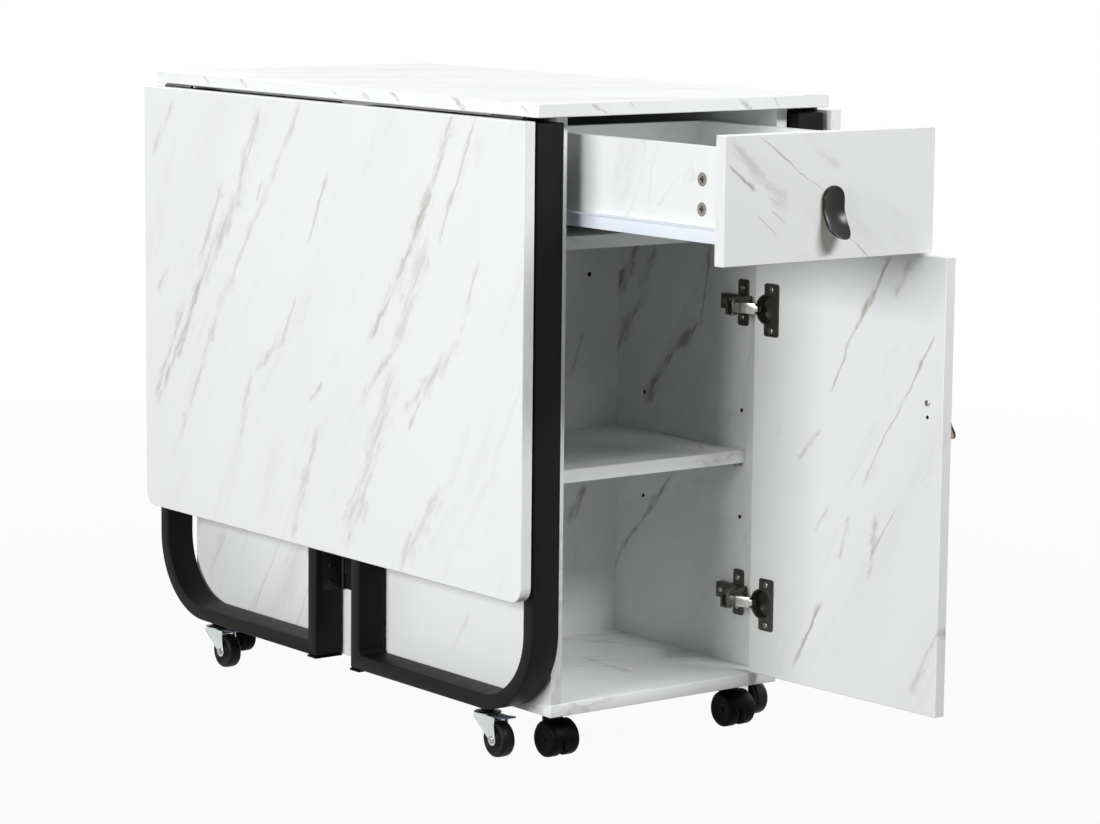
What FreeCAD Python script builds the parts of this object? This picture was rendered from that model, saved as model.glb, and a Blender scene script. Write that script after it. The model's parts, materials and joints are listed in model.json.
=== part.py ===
"""Drop-leaf kitchen table on a caster cabinet with a drawer and a door.

+X runs to the right along the cabinet front, +Y to the back, +Z up; lengths in millimetres.
The drawer stands pulled out and the door open; the leaves hang and the gate frames are folded.
"""
import FreeCAD, Part
import os
import re

import Sketcher
from FreeCAD import Placement, Rotation, Vector

SIZES = {
    # Boards and the table as a whole
    "board": 15,
    "edge_break": 0.8,
    "table_length": 800,
    "table_width": 424,
    "table_height": 750,
    # Drop leaves and their hinges
    "leaf_drop": 535,
    "leaf_corner": 18,
    "leaf_gap": 1.5,
    "leaf_hinge_inset": 25,
    "leaf_hinge_reach": 24,
    # Butt hinges
    "hinge_length": 60,
    "hinge_knuckle_length": 18,
    "hinge_end_gap": 0.3,
    "hinge_seat": 3,
    "hinge_knuckle_radius": 2.6,
    "hinge_pin_radius": 1.3,
    "hinge_plate": 1.2,
    "hinge_root": 3.2,
    "pin_clearance": 0.05,
    # Cabinet
    "cabinet_width": 336,
    "overhang_front": 24.5,
    "overhang_rear": 20,
    "bottom_height": 54.5,
    "drawer_space_height": 137,
    "front_depth": 290,
    "divider_setback": 17,
    "shelf_height": 258.5,
    "shelf_setback": 45,
    "rear_shelf_setback": 20,
    "shelf_clearance": 0.5,
    "shelf_pin_radius": 2.5,
    "shelf_pin_length": 18,
    "shelf_pin_depth": 9,
    "shelf_pin_inset": 53.5,
    "shelf_hole_pitch": 64,
    "shelf_hole_clearance": 0.1,
    "partition_hole_radius": 3,
    "partition_hole_inset": 46,
    "partition_hole_drop": 66,
    # Drawer
    "front_gap": 2,
    "drawer_top_gap": 6.5,
    "drawer_front_height": 139,
    "drawer_pull": 268,
    "drawer_length": 372,
    "drawer_rear_gap": 11,
    "drawer_side": 12,
    "drawer_side_height": 101,
    "drawer_side_lift": 23.5,
    "drawer_bottom_board": 4,
    "drawer_groove": 5,
    "drawer_groove_lift": 9,
    "drawer_groove_clearance": 0.2,
    "cam_radius": 7.5,
    "cam_depth": 9,
    "cam_inset": 34,
    "cam_low": 34,
    "cam_pitch": 32,
    "cam_clearance": 0.1,
    "cam_slot_width": 2.4,
    "cam_slot_depth": 3,
    # Drawer runners
    "runner_space": 12.5,
    "runner_sheet": 1.2,
    "runner_flange": 16,
    "runner_wall_drop": 7,
    "runner_wall_rise": 3,
    "runner_track": 9.5,
    "runner_lip": 3,
    "runner_setback": 1,
    "roller_radius": 6.5,
    "roller_width": 6,
    "roller_offset": 2.5,
    "roller_gap": 0.3,
    "roller_inset": 9,
    "roller_axle_radius": 2,
    # Scoop handles
    "handle_height": 57,
    "handle_width": 29,
    "handle_thick": 7,
    "handle_lip": 19.5,
    "handle_bend_drop": 26,
    "handle_back_bend": 42,
    "handle_front_bend": 35,
    "handle_edge": 1.5,
    "handle_drop": 58,
    "handle_screw_radius": 2,
    "handle_screw_head_radius": 3.6,
    "handle_screw_head": 1.6,
    "handle_screw_top": 13,
    "handle_screw_pitch": 16,
    "handle_screw_clearance": 0.2,
    "door_handle_inset": 23,
    "door_handle_drop": 150.5,
    # Door, its pivot and its concealed hinges
    "door_pivot_in": 8,
    "door_pivot_out": 4.2,
    "door_open_angle": 93,
    "door_hinge_inset": 84.5,
    "cup_radius": 17.5,
    "cup_wall": 1.2,
    "cup_depth": 12.5,
    "cup_edge": 20.5,
    "cup_clearance": 0.1,
    "cup_flange": 1.2,
    "cup_flange_height": 62,
    "cup_flange_width": 24,
    "cup_flange_shift": 8,
    "cup_flange_rim": 0.6,
    "arm_line": 52,
    "arm_back": 31,
    "arm_fore": 14,
    "arm_thick": 10,
    "arm_height": 18,
    "arm_crank": 43,
    "arm_front": 20.9,
    "arm_eye_radius": 4,
    "arm_ear": 2.5,
    "arm_ear_gap": 0.3,
    "arm_eye_room": 7,
    "arm_wing": 2.2,
    "arm_wing_width": 18,
    "arm_wing_height": 55,
    "link_eye_radius": 3.5,
    "link_pin_radius": 1.5,
    "link_half": 2.2,
    "link_lean": 24,
    "link_inner_length": 28.56,
    "link_outer_length": 31.22,
    "link_elbow": 2,
    "link_toe_root": 3.2,
    "link_toe_low": 34.05,
    "link_toe_reach": 5.24,
    "link_toe_high": 30.16,
    "link_toe_height": 7,
    # Gate frames of rectangular tube
    "tube_width": 38,
    "tube_depth": 18,
    "tube_wall": 1.2,
    "tube_bend": 100,
    "tube_weld": 5,
    "gate_length": 361,
    "gate_gap": 74,
    "gate_centre": 4,
    "gate_bottom": 56.5,
    "gate_top_gap": 6.2,
    "gate_hinge_reach": 28,
    "gate_hinge_low": 137,
    "gate_hinge_drop": 168.8,
    "plug_flange": 3,
    "plug_lip": 0.6,
    "plug_depth": 14,
    "plug_clearance": 0.2,
    # Single-wheel swivel casters on the gates
    "caster_inset": 108,
    "stem_radius": 4,
    "stem_rise": 14,
    "stem_head_radius": 6.5,
    "stem_head": 2,
    "stem_clearance": 0.1,
    "race_radius": 16,
    "race_height": 3,
    "race_gap": 0.3,
    "nut_radius": 7.5,
    "nut_height": 5,
    "collar_radius": 5.5,
    "fork_top": 47.5,
    "fork_sheet": 2,
    "fork_leg": 1.5,
    "fork_inner": 18.5,
    "fork_back": 13,
    "fork_back_depth": 6,
    "fork_plate_front": 14,
    "fork_nose": 25,
    "fork_nose_depth": 7,
    "fork_foot": 6.5,
    "fork_foot_round_share": 0.9,
    "caster_trail": 22,
    "wheel_radius": 21,
    "wheel_width": 17,
    "wheel_tread_round": 2,
    "wheel_dish": 2,
    "wheel_hub_radius": 9,
    "wheel_rim_radius": 15.5,
    "wheel_taper": 1,
    "axle_radius": 3,
    "axle_overhang": 1,
    "brake_pivot": 21,
    "brake_pivot_drop": 2.2,
    "brake_barrel_radius": 2.6,
    "brake_pin_radius": 1.2,
    "brake_width": 15,
    "brake_tip": 44,
    "brake_sheet": 2,
    "brake_rise": 2.5,
    # Twin-wheel casters under the cabinet
    "twin_across": 132,
    "twin_inset_front": 43,
    "twin_inset_rear": 29,
    "twin_plate": 2,
    "twin_plate_side": 40,
    "twin_pin_radius": 5,
    "twin_pin_low": 28,
    "twin_trail": 8,
    "twin_wheel_radius": 20.5,
    "twin_wheel_width": 14,
    "twin_width": 38,
    "twin_web": 8,
    "twin_web_low": 10,
    "twin_neck_radius": 12,
    "twin_neck_gap": 0.3,
    "twin_hood_radius": 21.8,
    "twin_hood_sheet": 0.9,
    "twin_hood_lift": 2,
    "twin_bore_low": 27,
    # One overrun for every cut
    "overrun": 5,
}

PLACES = {
    "half_table": "table_width / 2",
    "half_length": "table_length / 2",
    "under": "table_height - board",
    "side_out": "cabinet_width / 2",
    "side_in": "side_out - board",
    "front": "overhang_front - half_length",
    "rear": "half_length - overhang_rear",
    "floor_top": "bottom_height + board",
    "divider_top": "under - drawer_space_height",
    "divider_low": "divider_top - board",
    "partition_front": "front + front_depth",
    "runner_start": "front + board + runner_setback",
    "runner_end": "front + divider_setback + drawer_length",
    "upper_partition_front": "runner_end + drawer_rear_gap",
    "shelf_top": "floor_top + shelf_height",
    "shelf_low": "shelf_top - board",
    "shelf_pin_level": "shelf_low - shelf_pin_radius",
    "leaf_pin_x": "half_table + leaf_gap / 2",
    "leaf_pin_z": "under - hinge_seat",
    "leaf_in": "leaf_pin_x + hinge_seat",
    "leaf_top": "leaf_pin_z - leaf_gap / 2",
    "leaf_low": "leaf_top - leaf_drop",
    "drawer_face": "front - drawer_pull",
    "drawer_back_face": "drawer_face + board",
    "drawer_end": "drawer_back_face + drawer_length",
    "front_half": "side_in - front_gap",
    "drawer_top": "under - drawer_top_gap",
    "drawer_low": "drawer_top - drawer_front_height",
    "drawer_out": "side_in - runner_space",
    "drawer_in": "drawer_out - drawer_side",
    "drawer_side_low": "drawer_low + drawer_side_lift",
    "drawer_side_top": "drawer_side_low + drawer_side_height",
    "groove_low": "drawer_side_low + drawer_groove_lift",
    "groove_top": "groove_low + drawer_bottom_board",
    "cam_line": "drawer_back_face + cam_inset",
    "runner_flange_top": "drawer_side_low + runner_flange",
    "track_low": "drawer_side_low - runner_wall_drop",
    "track_top": "track_low + runner_sheet",
    "wheel_out": "side_in - roller_offset",
    "wheel_in": "wheel_out - roller_width",
    "fixed_roller_y": "runner_start + roller_inset",
    "fixed_roller_z": "runner_flange_top - runner_sheet - roller_gap - roller_radius",
    "moving_roller_y": "drawer_end - roller_inset",
    "moving_roller_z": "track_top + roller_gap + roller_radius",
    "door_low": "floor_top + front_gap",
    "door_top": "drawer_low - front_gap",
    "door_inner": "front + board",
    "door_handle_top": "door_top - door_handle_drop",
    "pivot_x": "side_in - door_pivot_in",
    "pivot_y": "front - door_pivot_out",
    "cup_x": "front_half - cup_edge",
    "arm_y": "front + arm_line",
    "eye_x": "side_in - arm_crank",
    "eye_y": "front + arm_front",
    "gate_in": "side_out + hinge_seat",
    "gate_out": "gate_in + tube_width",
    "gate_mid": "gate_in + tube_width / 2",
    "gate_top": "under - gate_top_gap",
    "gate_hinge_high": "gate_top - gate_hinge_drop",
    "fork_wide": "fork_inner + 2 * fork_leg",
    "race_low": "fork_top + race_gap",
    "race_top": "race_low + race_height",
    "nut_top": "race_top + nut_height",
    "stem_head_top": "fork_top - fork_sheet - race_gap",
    "brake_pivot_z": "fork_top - brake_pivot_drop",
    "plate_low": "bottom_height - twin_plate",
    "neck_top": "plate_low - twin_neck_gap",
}

SIDES = {"left": -1, "right": 1}
ENDS = {"front": -1, "rear": 1}
ALONG = {"x": Rotation(Vector(0, 1, 0), 90), "y": Rotation(Vector(1, 0, 0), -90), "z": Rotation()}
SKETCH_AXES = {"XY_Plane": "xyz", "YZ_Plane": "yzx"}
NAME = re.compile(r"[a-z][a-z_]*")

doc = FreeCAD.newDocument("DropLeafTable")
sheet = doc.addObject("Spreadsheet::Sheet", "Sizes")
nodes = {}


def fill_sheet():
    """Write each driving dimension in a cell of its own, under its name."""
    for row, (name, number) in enumerate(SIZES.items(), 1):
        sheet.set(f"A{row}", name)
        sheet.set(f"B{row}", str(number))
        sheet.setAlias(f"B{row}", name)
    doc.recompute()


def cells(formula):
    """Write a formula of size and place names as one of sheet cells."""
    def cell(match):
        name = match.group()
        if name in PLACES:
            return f"({cells(PLACES[name])})"
        return f"Sizes.{name}"
    return NAME.sub(cell, str(formula))


def value(formula):
    """Work out a formula of size and place names."""
    return float(sheet.evalExpression(cells(formula)))


def put(part, **formulas):
    """Bind the place of a part to formulas."""
    for axis, formula in formulas.items():
        part.setExpression(f"Placement.Base.{axis}", cells(formula))
    return part


def ordered(span):
    """The two ends of a span, the lower first."""
    return sorted(span, key=value)


def box(name, x, y, z):
    """A block between two formulas on each axis."""
    part = doc.addObject("Part::Box", name)
    for axis, edge, span in zip("xyz", ("Length", "Width", "Height"), (x, y, z)):
        low, high = ordered(span)
        part.setExpression(edge, cells(f"({high}) - ({low})"))
        put(part, **{axis: low})
    return part


def rod(name, axis, radius, span, **centre):
    """A cylinder along one axis over a span, centred on the other two axes."""
    part = doc.addObject("Part::Cylinder", name)
    low, high = ordered(span)
    part.Placement = Placement(Vector(), ALONG[axis])
    part.setExpression("Radius", cells(radius))
    part.setExpression("Height", cells(f"({high}) - ({low})"))
    return put(part, **{axis: low}, **centre)


def fuse(name, *pieces):
    """One solid made of pieces that meet."""
    part = doc.addObject("Part::MultiFuse", name)
    part.Shapes = list(pieces)
    part.Refine = True
    return part


def cut(name, base, *tools):
    """A solid less one or more others."""
    part = doc.addObject("Part::Cut", name)
    part.Base = base
    part.Tool = tools[0] if len(tools) == 1 else fuse(f"{name}_tools", *tools)
    return part


def group(name, *pieces):
    """Separate solids that share one node."""
    part = doc.addObject("Part::Compound", name)
    part.Links = list(pieces)
    return part


def node(name, part):
    """Keep a finished piece under its own label."""
    part.Label = name
    nodes[name] = part
    return part


def chamfered(name, base, size):
    """A block with all its edges broken."""
    doc.recompute()
    part = doc.addObject("Part::Chamfer", name)
    part.Base = base
    part.Edges = [(number, value(size), value(size)) for number in range(1, len(base.Shape.Edges) + 1)]
    return part


def sketch_on(body, name, plane_role, loops):
    """A sketch of straight-sided loops whose corners are bound to formulas."""
    plane = next(item for item in body.Origin.OriginFeatures if item.Role == plane_role)
    sketch = body.newObject("Sketcher::SketchObject", name)
    sketch.AttachmentSupport = [(plane, "")]
    sketch.MapMode = "FlatFace"
    first = 0
    for loop in loops:
        corners = [Vector(value(across), value(up), 0) for across, up in loop]
        count = len(corners)
        for number in range(count):
            sketch.addGeometry(Part.LineSegment(corners[number], corners[(number + 1) % count]))
        for number in range(count):
            following = first + (number + 1) % count
            sketch.addConstraint(Sketcher.Constraint("Coincident", first + number, 2, following, 1))
        for number, pair in enumerate(loop):
            for kind, formula in zip(("DistanceX", "DistanceY"), pair):
                rule = Sketcher.Constraint(kind, -1, 1, first + number, 1, value(formula))
                index = sketch.addConstraint(rule)
                sketch.setExpression(f"Constraints[{index}]", cells(formula))
        first += count
    return sketch


def runs_at(edge, plane_role, spot):
    """Whether an edge runs along the pad at one corner of its sketch."""
    first, second = (value(formula) for formula in spot)
    letters = SKETCH_AXES[plane_role]
    tolerance = value("edge_break") / 100
    return all(abs(getattr(vertex, letters[0].upper()) - first) < tolerance
               and abs(getattr(vertex, letters[1].upper()) - second) < tolerance
               for vertex in edge.Vertexes)


def pad(name, plane_role, loops, start, depth, rounds=()):
    """A body padded from a sketch, with named corners rounded."""
    body = doc.addObject("PartDesign::Body", name)
    sketch = sketch_on(body, f"{name}_sketch", plane_role, loops)
    solid = body.newObject("PartDesign::Pad", f"{name}_pad")
    solid.Profile = sketch
    solid.setExpression("Length", cells(depth))
    put(body, **{SKETCH_AXES[plane_role][2]: start})
    for spot, radius in rounds:
        doc.recompute()
        base = body.Tip
        edges = [f"Edge{number}" for number, edge in enumerate(base.Shape.Edges, 1)
                 if runs_at(edge, plane_role, spot)]
        fillet = body.newObject("PartDesign::Fillet", f"{name}_round")
        fillet.Base = (base, edges)
        fillet.setExpression("Radius", cells(radius))
    return body


def turned(name, outline, **place):
    """A body turned about X from an outline of (along, radius) points."""
    body = doc.addObject("PartDesign::Body", name)
    sketch = sketch_on(body, f"{name}_sketch", "XY_Plane", [outline])
    solid = body.newObject("PartDesign::Revolution", f"{name}_turn")
    solid.Profile = sketch
    solid.ReferenceAxis = (sketch, ["H_Axis"])
    solid.Angle = 360
    return put(body, **place)


def across(formula):
    """A span centred on the middle plane."""
    return (f"-({formula})", formula)


def about(centre, length):
    """A span of a length about a centre."""
    return (f"{centre} - ({length}) / 2", f"{centre} + ({length}) / 2")


def hinge_half(name, axis, low, spans, pin, thin, run, reach, pinned):
    """One plate of a butt hinge with its knuckles: thin and run are (axis, sign) pairs."""
    thin_axis, thin_sign = thin
    run_axis, run_sign = run
    seat = (f"{pin[thin_axis]} + ({thin_sign}) * (hinge_seat - hinge_plate)",
            f"{pin[thin_axis]} + ({thin_sign}) * hinge_seat")
    root = f"{pin[run_axis]} + ({run_sign}) * hinge_root"
    tip = f"{pin[run_axis]} + ({run_sign}) * ({reach})"
    whole = (low, f"{low} + hinge_length")
    pieces = [box(f"{name}_plate", **{axis: whole, thin_axis: seat, run_axis: (root, tip)})]
    for number, (start, end) in enumerate(spans):
        span = (f"{low} + {start}", f"{low} + {end}")
        pieces.append(box(f"{name}_tab{number}", **{axis: span, thin_axis: seat,
                                                    run_axis: (pin[run_axis], root)}))
        pieces.append(rod(f"{name}_knuckle{number}", axis, "hinge_knuckle_radius", span, **pin))
    if pinned:
        return fuse(name, *pieces, rod(f"{name}_pin", axis, "hinge_pin_radius", whole, **pin))
    bore = rod(f"{name}_bore", axis, "hinge_pin_radius + pin_clearance", whole, **pin)
    return cut(name, fuse(f"{name}_whole", *pieces), bore)


FIXED_KNUCKLES = [("0", "hinge_knuckle_length"), ("hinge_length - hinge_knuckle_length", "hinge_length")]
MOVING_KNUCKLES = [("hinge_knuckle_length + hinge_end_gap",
                    "hinge_length - hinge_knuckle_length - hinge_end_gap")]


def tabletop():
    slab = box("top_slab", across("half_table"), across("half_length"), ("under", "table_height"))
    node("tabletop", chamfered("top_board", slab, "edge_break"))


def shelf_pin_spots():
    """The four corners under the middle shelf: side, and place along Y."""
    for side in SIDES.values():
        yield side, "front + shelf_pin_inset"
        yield side, "partition_front - shelf_pin_inset"


def side_panels():
    for name, side in SIDES.items():
        panel = box(f"side_{name}", (f"{side} * side_in", f"{side} * side_out"), ("front", "rear"),
                    ("floor_top", "under"))
        holes = [rod(f"pin_hole_{name}", "x", "shelf_pin_radius + shelf_hole_clearance",
                     (f"{side} * (side_in - overrun)", f"{side} * (side_in + shelf_pin_depth)"),
                     y=place, z=f"shelf_pin_level + ({step}) * shelf_hole_pitch")
                 for spot_side, place in shelf_pin_spots() if spot_side == side
                 for step in (-1, 0, 1)]
        node(f"side_panel_{name}", cut(f"panel_{name}", panel, *holes))


def cabinet_boards():
    inside = across("side_in")
    node("bottom_board", box("bottom", across("side_out"), ("front", "rear"), ("bottom_height", "floor_top")))
    node("drawer_divider", box("divider", inside, ("front + divider_setback", "rear"),
                               ("divider_low", "divider_top")))
    partition = box("partition", inside, ("partition_front", "partition_front + board"),
                    ("floor_top", "divider_low"))
    hole = rod("partition_bore", "y", "partition_hole_radius",
               ("partition_front - overrun", "partition_front + board + overrun"),
               x="side_in - partition_hole_inset", z="divider_low - partition_hole_drop")
    node("lower_partition", cut("partition_cut", partition, hole))
    node("upper_partition", box("partition_top", inside,
                                ("upper_partition_front", "upper_partition_front + board"),
                                ("divider_top", "under")))
    node("middle_shelf", box("shelf", across("side_in - shelf_clearance"),
                             ("front + shelf_setback", "partition_front"), ("shelf_low", "shelf_top")))
    node("rear_shelf", box("shelf_rear", inside, ("partition_front + board", "rear - rear_shelf_setback"),
                           ("shelf_low", "shelf_top")))
    pins = [rod("pin", "x", "shelf_pin_radius",
                (f"{side} * (side_in + shelf_pin_depth)",
                 f"{side} * (side_in + shelf_pin_depth - shelf_pin_length)"),
                y=place, z="shelf_pin_level")
            for side, place in shelf_pin_spots()]
    node("shelf_pins", group("pins", *pins))


def leaves():
    halves = []
    for name, side in SIDES.items():
        outline = [("-half_length", "leaf_low"), ("half_length", "leaf_low"),
                   ("half_length", "leaf_top"), ("-half_length", "leaf_top")]
        inner, outer = ordered((f"{side} * leaf_in", f"{side} * (leaf_in + board)"))
        leaf = pad(f"leaf_{name}_body", "YZ_Plane", [outline], inner, "board",
                   [(outline[0], "leaf_corner"), (outline[1], "leaf_corner")])
        doc.recompute()
        base = leaf.Tip
        rims = [f"Edge{number}" for number, edge in enumerate(base.Shape.Edges, 1)
                if len({round(vertex.X) for vertex in edge.Vertexes}) == 1]
        rim = leaf.newObject("PartDesign::Chamfer", f"leaf_{name}_rim")
        rim.Base = (base, rims)
        rim.setExpression("Size", cells("edge_break"))
        node(f"leaf_{name}", leaf)
        pin = {"x": f"{side} * leaf_pin_x", "z": "leaf_pin_z"}
        moving = []
        for end in ENDS.values():
            low = f"{end} * (half_length - leaf_hinge_inset - hinge_length / 2) - hinge_length / 2"
            halves.append(hinge_half(f"top_hinge_{name}", "y", low, FIXED_KNUCKLES, pin, ("z", 1),
                                     ("x", -side), "leaf_hinge_reach", True))
            moving.append(hinge_half(f"leaf_hinge_{name}", "y", low, MOVING_KNUCKLES, pin, ("x", side),
                                     ("z", -1), "leaf_hinge_reach", False))
        node(f"leaf_hinge_plates_{name}", group(f"leaf_hinges_{name}", *moving))
    node("tabletop_hinge_plates", group("top_hinges", *halves))


def tube_loop(name, side, end, inset):
    """The closed gate tube, or with an inset of one wall the hollow in it."""
    inner = f"gate_centre + ({end}) * gate_gap / 2"
    outer = f"{inner} + ({end}) * gate_length"
    skin = (f"{inner} + ({end}) * ({inset})", f"{outer} - ({end}) * ({inset})",
            f"gate_bottom + {inset}", f"gate_top - ({inset})")
    bore = (f"{inner} + ({end}) * (tube_depth - {inset})", f"{outer} - ({end}) * (tube_depth - {inset})",
            f"gate_bottom + tube_depth - {inset}", f"gate_top - tube_depth + {inset}")
    loops = [[(near, low), (far, low), (far, high), (near, high)] for near, far, low, high in (skin, bore)]
    rounds = [((skin[1], skin[2]), f"tube_bend - {inset}"),
              ((bore[1], bore[2]), f"tube_bend - tube_depth + {inset}"),
              ((bore[0], bore[2]), f"tube_weld + {inset}")]
    low_x, _ = ordered((f"{side} * gate_in", f"{side} * gate_out"))
    return pad(name, "YZ_Plane", loops, f"{low_x} + {inset}", f"tube_width - 2 * ({inset})", rounds)


def gates():
    fixed = []
    for side_name, side in SIDES.items():
        for end_name, end in ENDS.items():
            name = f"{end_name}_{side_name}"
            inner = f"gate_centre + ({end}) * gate_gap / 2"
            middle = f"{side} * gate_mid"
            stem_y = f"{inner} + ({end}) * (gate_length - caster_inset)"
            mouth = box(f"mouth_{name}", about(middle, "tube_width - 2 * tube_wall"),
                        (f"{inner} + ({end}) * tube_wall", f"{inner} + ({end}) * (tube_depth - tube_wall)"),
                        ("gate_bottom - overrun", "gate_bottom + 2 * tube_wall"))
            hole = rod(f"stem_hole_{name}", "z", "stem_radius + stem_clearance",
                       ("gate_bottom - overrun", "gate_bottom + 2 * tube_wall"), x=middle, y=stem_y)
            tube = tube_loop(f"tube_{name}", side, end, "0")
            hollow = tube_loop(f"hollow_{name}", side, end, "tube_wall")
            node(f"gate_frame_{name}", cut(f"frame_{name}", tube, hollow, mouth, hole))
            pin = {"x": f"{side} * gate_in", "y": f"{inner} - ({end}) * hinge_seat"}
            fittings = [end_plug(name, middle, inner, end), caster_stem(name, middle, stem_y)]
            for low in ("gate_hinge_low", "gate_hinge_high"):
                fixed.append(hinge_half(f"side_hinge_{name}", "z", low, FIXED_KNUCKLES, pin, ("x", -side),
                                        ("y", -end), "gate_hinge_reach", True))
                fittings.append(hinge_half(f"gate_hinge_{name}", "z", low, MOVING_KNUCKLES, pin,
                                           ("y", end), ("x", side), "gate_hinge_reach", False))
            node(f"gate_fittings_{name}", group(f"fittings_{name}", *fittings))
            swivel_caster(name, middle, stem_y)
    node("cabinet_hinge_plates", group("side_hinges", *fixed))


def end_plug(name, middle, inner, end):
    """The moulded plug in the open foot of a gate's inner post."""
    post_y = f"{inner} + ({end}) * tube_depth / 2"
    flange = box(f"plug_flange_{name}", about(middle, "tube_width + 2 * plug_lip"),
                 about(post_y, "tube_depth + 2 * plug_lip"), ("gate_bottom - plug_flange", "gate_bottom"))
    room = "2 * (tube_wall + plug_clearance)"
    spigot = box(f"plug_spigot_{name}", about(middle, f"tube_width - {room}"),
                 about(post_y, f"tube_depth - {room}"), ("gate_bottom", "gate_bottom + plug_depth"))
    return fuse(f"plug_{name}", flange, spigot)


def caster_stem(name, x, y):
    """The threaded stem with its nut, upper race and riveted head."""
    nut = doc.addObject("Part::Prism", f"nut_{name}")
    nut.Polygon = 6
    nut.setExpression("Circumradius", cells("nut_radius"))
    nut.setExpression("Height", cells("nut_height"))
    put(nut, x=x, y=y, z="race_top")
    return fuse(
        f"stem_{name}", nut,
        rod(f"stem_shank_{name}", "z", "stem_radius", ("stem_head_top", "gate_bottom + stem_rise"), x=x, y=y),
        rod(f"stem_head_{name}", "z", "stem_head_radius", ("stem_head_top - stem_head", "stem_head_top"),
            x=x, y=y),
        rod(f"race_{name}", "z", "race_radius", ("race_low", "race_top"), x=x, y=y),
        rod(f"collar_{name}", "z", "collar_radius", ("nut_top", "gate_bottom"), x=x, y=y))


def swivel_caster(name, x, y):
    """Pressed fork, wheel and brake lever of one gate caster; the wheel trails to the front."""
    axle_y = f"{y} - caster_trail"
    foot_y = (f"{axle_y} - fork_foot", f"{axle_y} + fork_foot")
    foot_z = "wheel_radius - fork_foot"
    outline = [(f"{y} + fork_back", "fork_top"), (f"{y} - fork_nose", "fork_top"),
               (f"{y} - fork_nose", "fork_top - fork_nose_depth"), (foot_y[0], "wheel_radius"),
               (foot_y[0], foot_z), (foot_y[1], foot_z), (foot_y[1], "wheel_radius"),
               (f"{y} + fork_back", "fork_top - fork_back_depth")]
    cheek = pad(f"cheek_{name}", "YZ_Plane", [outline], f"{x} - fork_wide / 2", "fork_wide",
                [(outline[4], "fork_foot * fork_foot_round_share"),
                 (outline[5], "fork_foot * fork_foot_round_share")])
    gap = about(x, "fork_inner")
    slot = box(f"fork_slot_{name}", gap, (f"{y} - fork_nose - overrun", f"{y} + fork_back + overrun"),
               (f"{foot_z} - overrun", "fork_top - fork_sheet"))
    nose = box(f"fork_nose_{name}", gap, (f"{y} - fork_nose - overrun", f"{y} - fork_plate_front"),
               (f"{foot_z} - overrun", "fork_top + overrun"))
    stem_hole = rod(f"fork_bore_{name}", "z", "stem_radius + pin_clearance",
                    ("fork_top - fork_sheet - overrun", "fork_top + overrun"), x=x, y=y)
    axle = rod(f"axle_{name}", "x", "axle_radius", about(x, "fork_wide + 2 * axle_overhang"),
               y=axle_y, z="wheel_radius")
    brake_y = f"{y} - brake_pivot"
    pin = rod(f"brake_pin_{name}", "x", "brake_pin_radius", about(x, "fork_wide"), y=brake_y,
              z="brake_pivot_z")
    shell = cut(f"fork_shell_{name}", cheek, slot, nose, stem_hole)
    node(f"caster_fork_{name}", fuse(f"fork_{name}", shell, axle, pin))

    half = "wheel_width / 2"
    bore = "axle_radius + pin_clearance"
    right = [(half, bore), (half, "wheel_hub_radius"),
             (f"{half} - wheel_dish", "wheel_hub_radius + wheel_taper"),
             (f"{half} - wheel_dish", "wheel_rim_radius - wheel_taper"), (half, "wheel_rim_radius"),
             (half, "wheel_radius - wheel_tread_round"), (f"{half} - wheel_tread_round", "wheel_radius")]
    left = [(f"-({along})", radius) for along, radius in reversed(right)]
    node(f"caster_wheel_{name}", turned(f"wheel_{name}", right + left, x=x, y=axle_y, z="wheel_radius"))

    barrel = rod(f"brake_barrel_{name}", "x", "brake_barrel_radius", about(x, "brake_width"), y=brake_y,
                 z="brake_pivot_z")
    tip_y = f"{y} - brake_tip"
    lever_top = "brake_pivot_z + brake_barrel_radius"
    blade = [(brake_y, lever_top), (brake_y, f"{lever_top} - brake_sheet"),
             (tip_y, f"{lever_top} - brake_sheet + brake_rise"), (tip_y, f"{lever_top} + brake_rise")]
    lever = pad(f"brake_blade_{name}", "YZ_Plane", [blade], f"{x} - brake_width / 2", "brake_width")
    bore = rod(f"brake_bore_{name}", "x", "brake_pin_radius + pin_clearance",
               about(x, "brake_width + 2 * overrun"), y=brake_y, z="brake_pivot_z")
    node(f"caster_brake_{name}", cut(f"brake_{name}", fuse(f"brake_whole_{name}", barrel, lever), bore))


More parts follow.
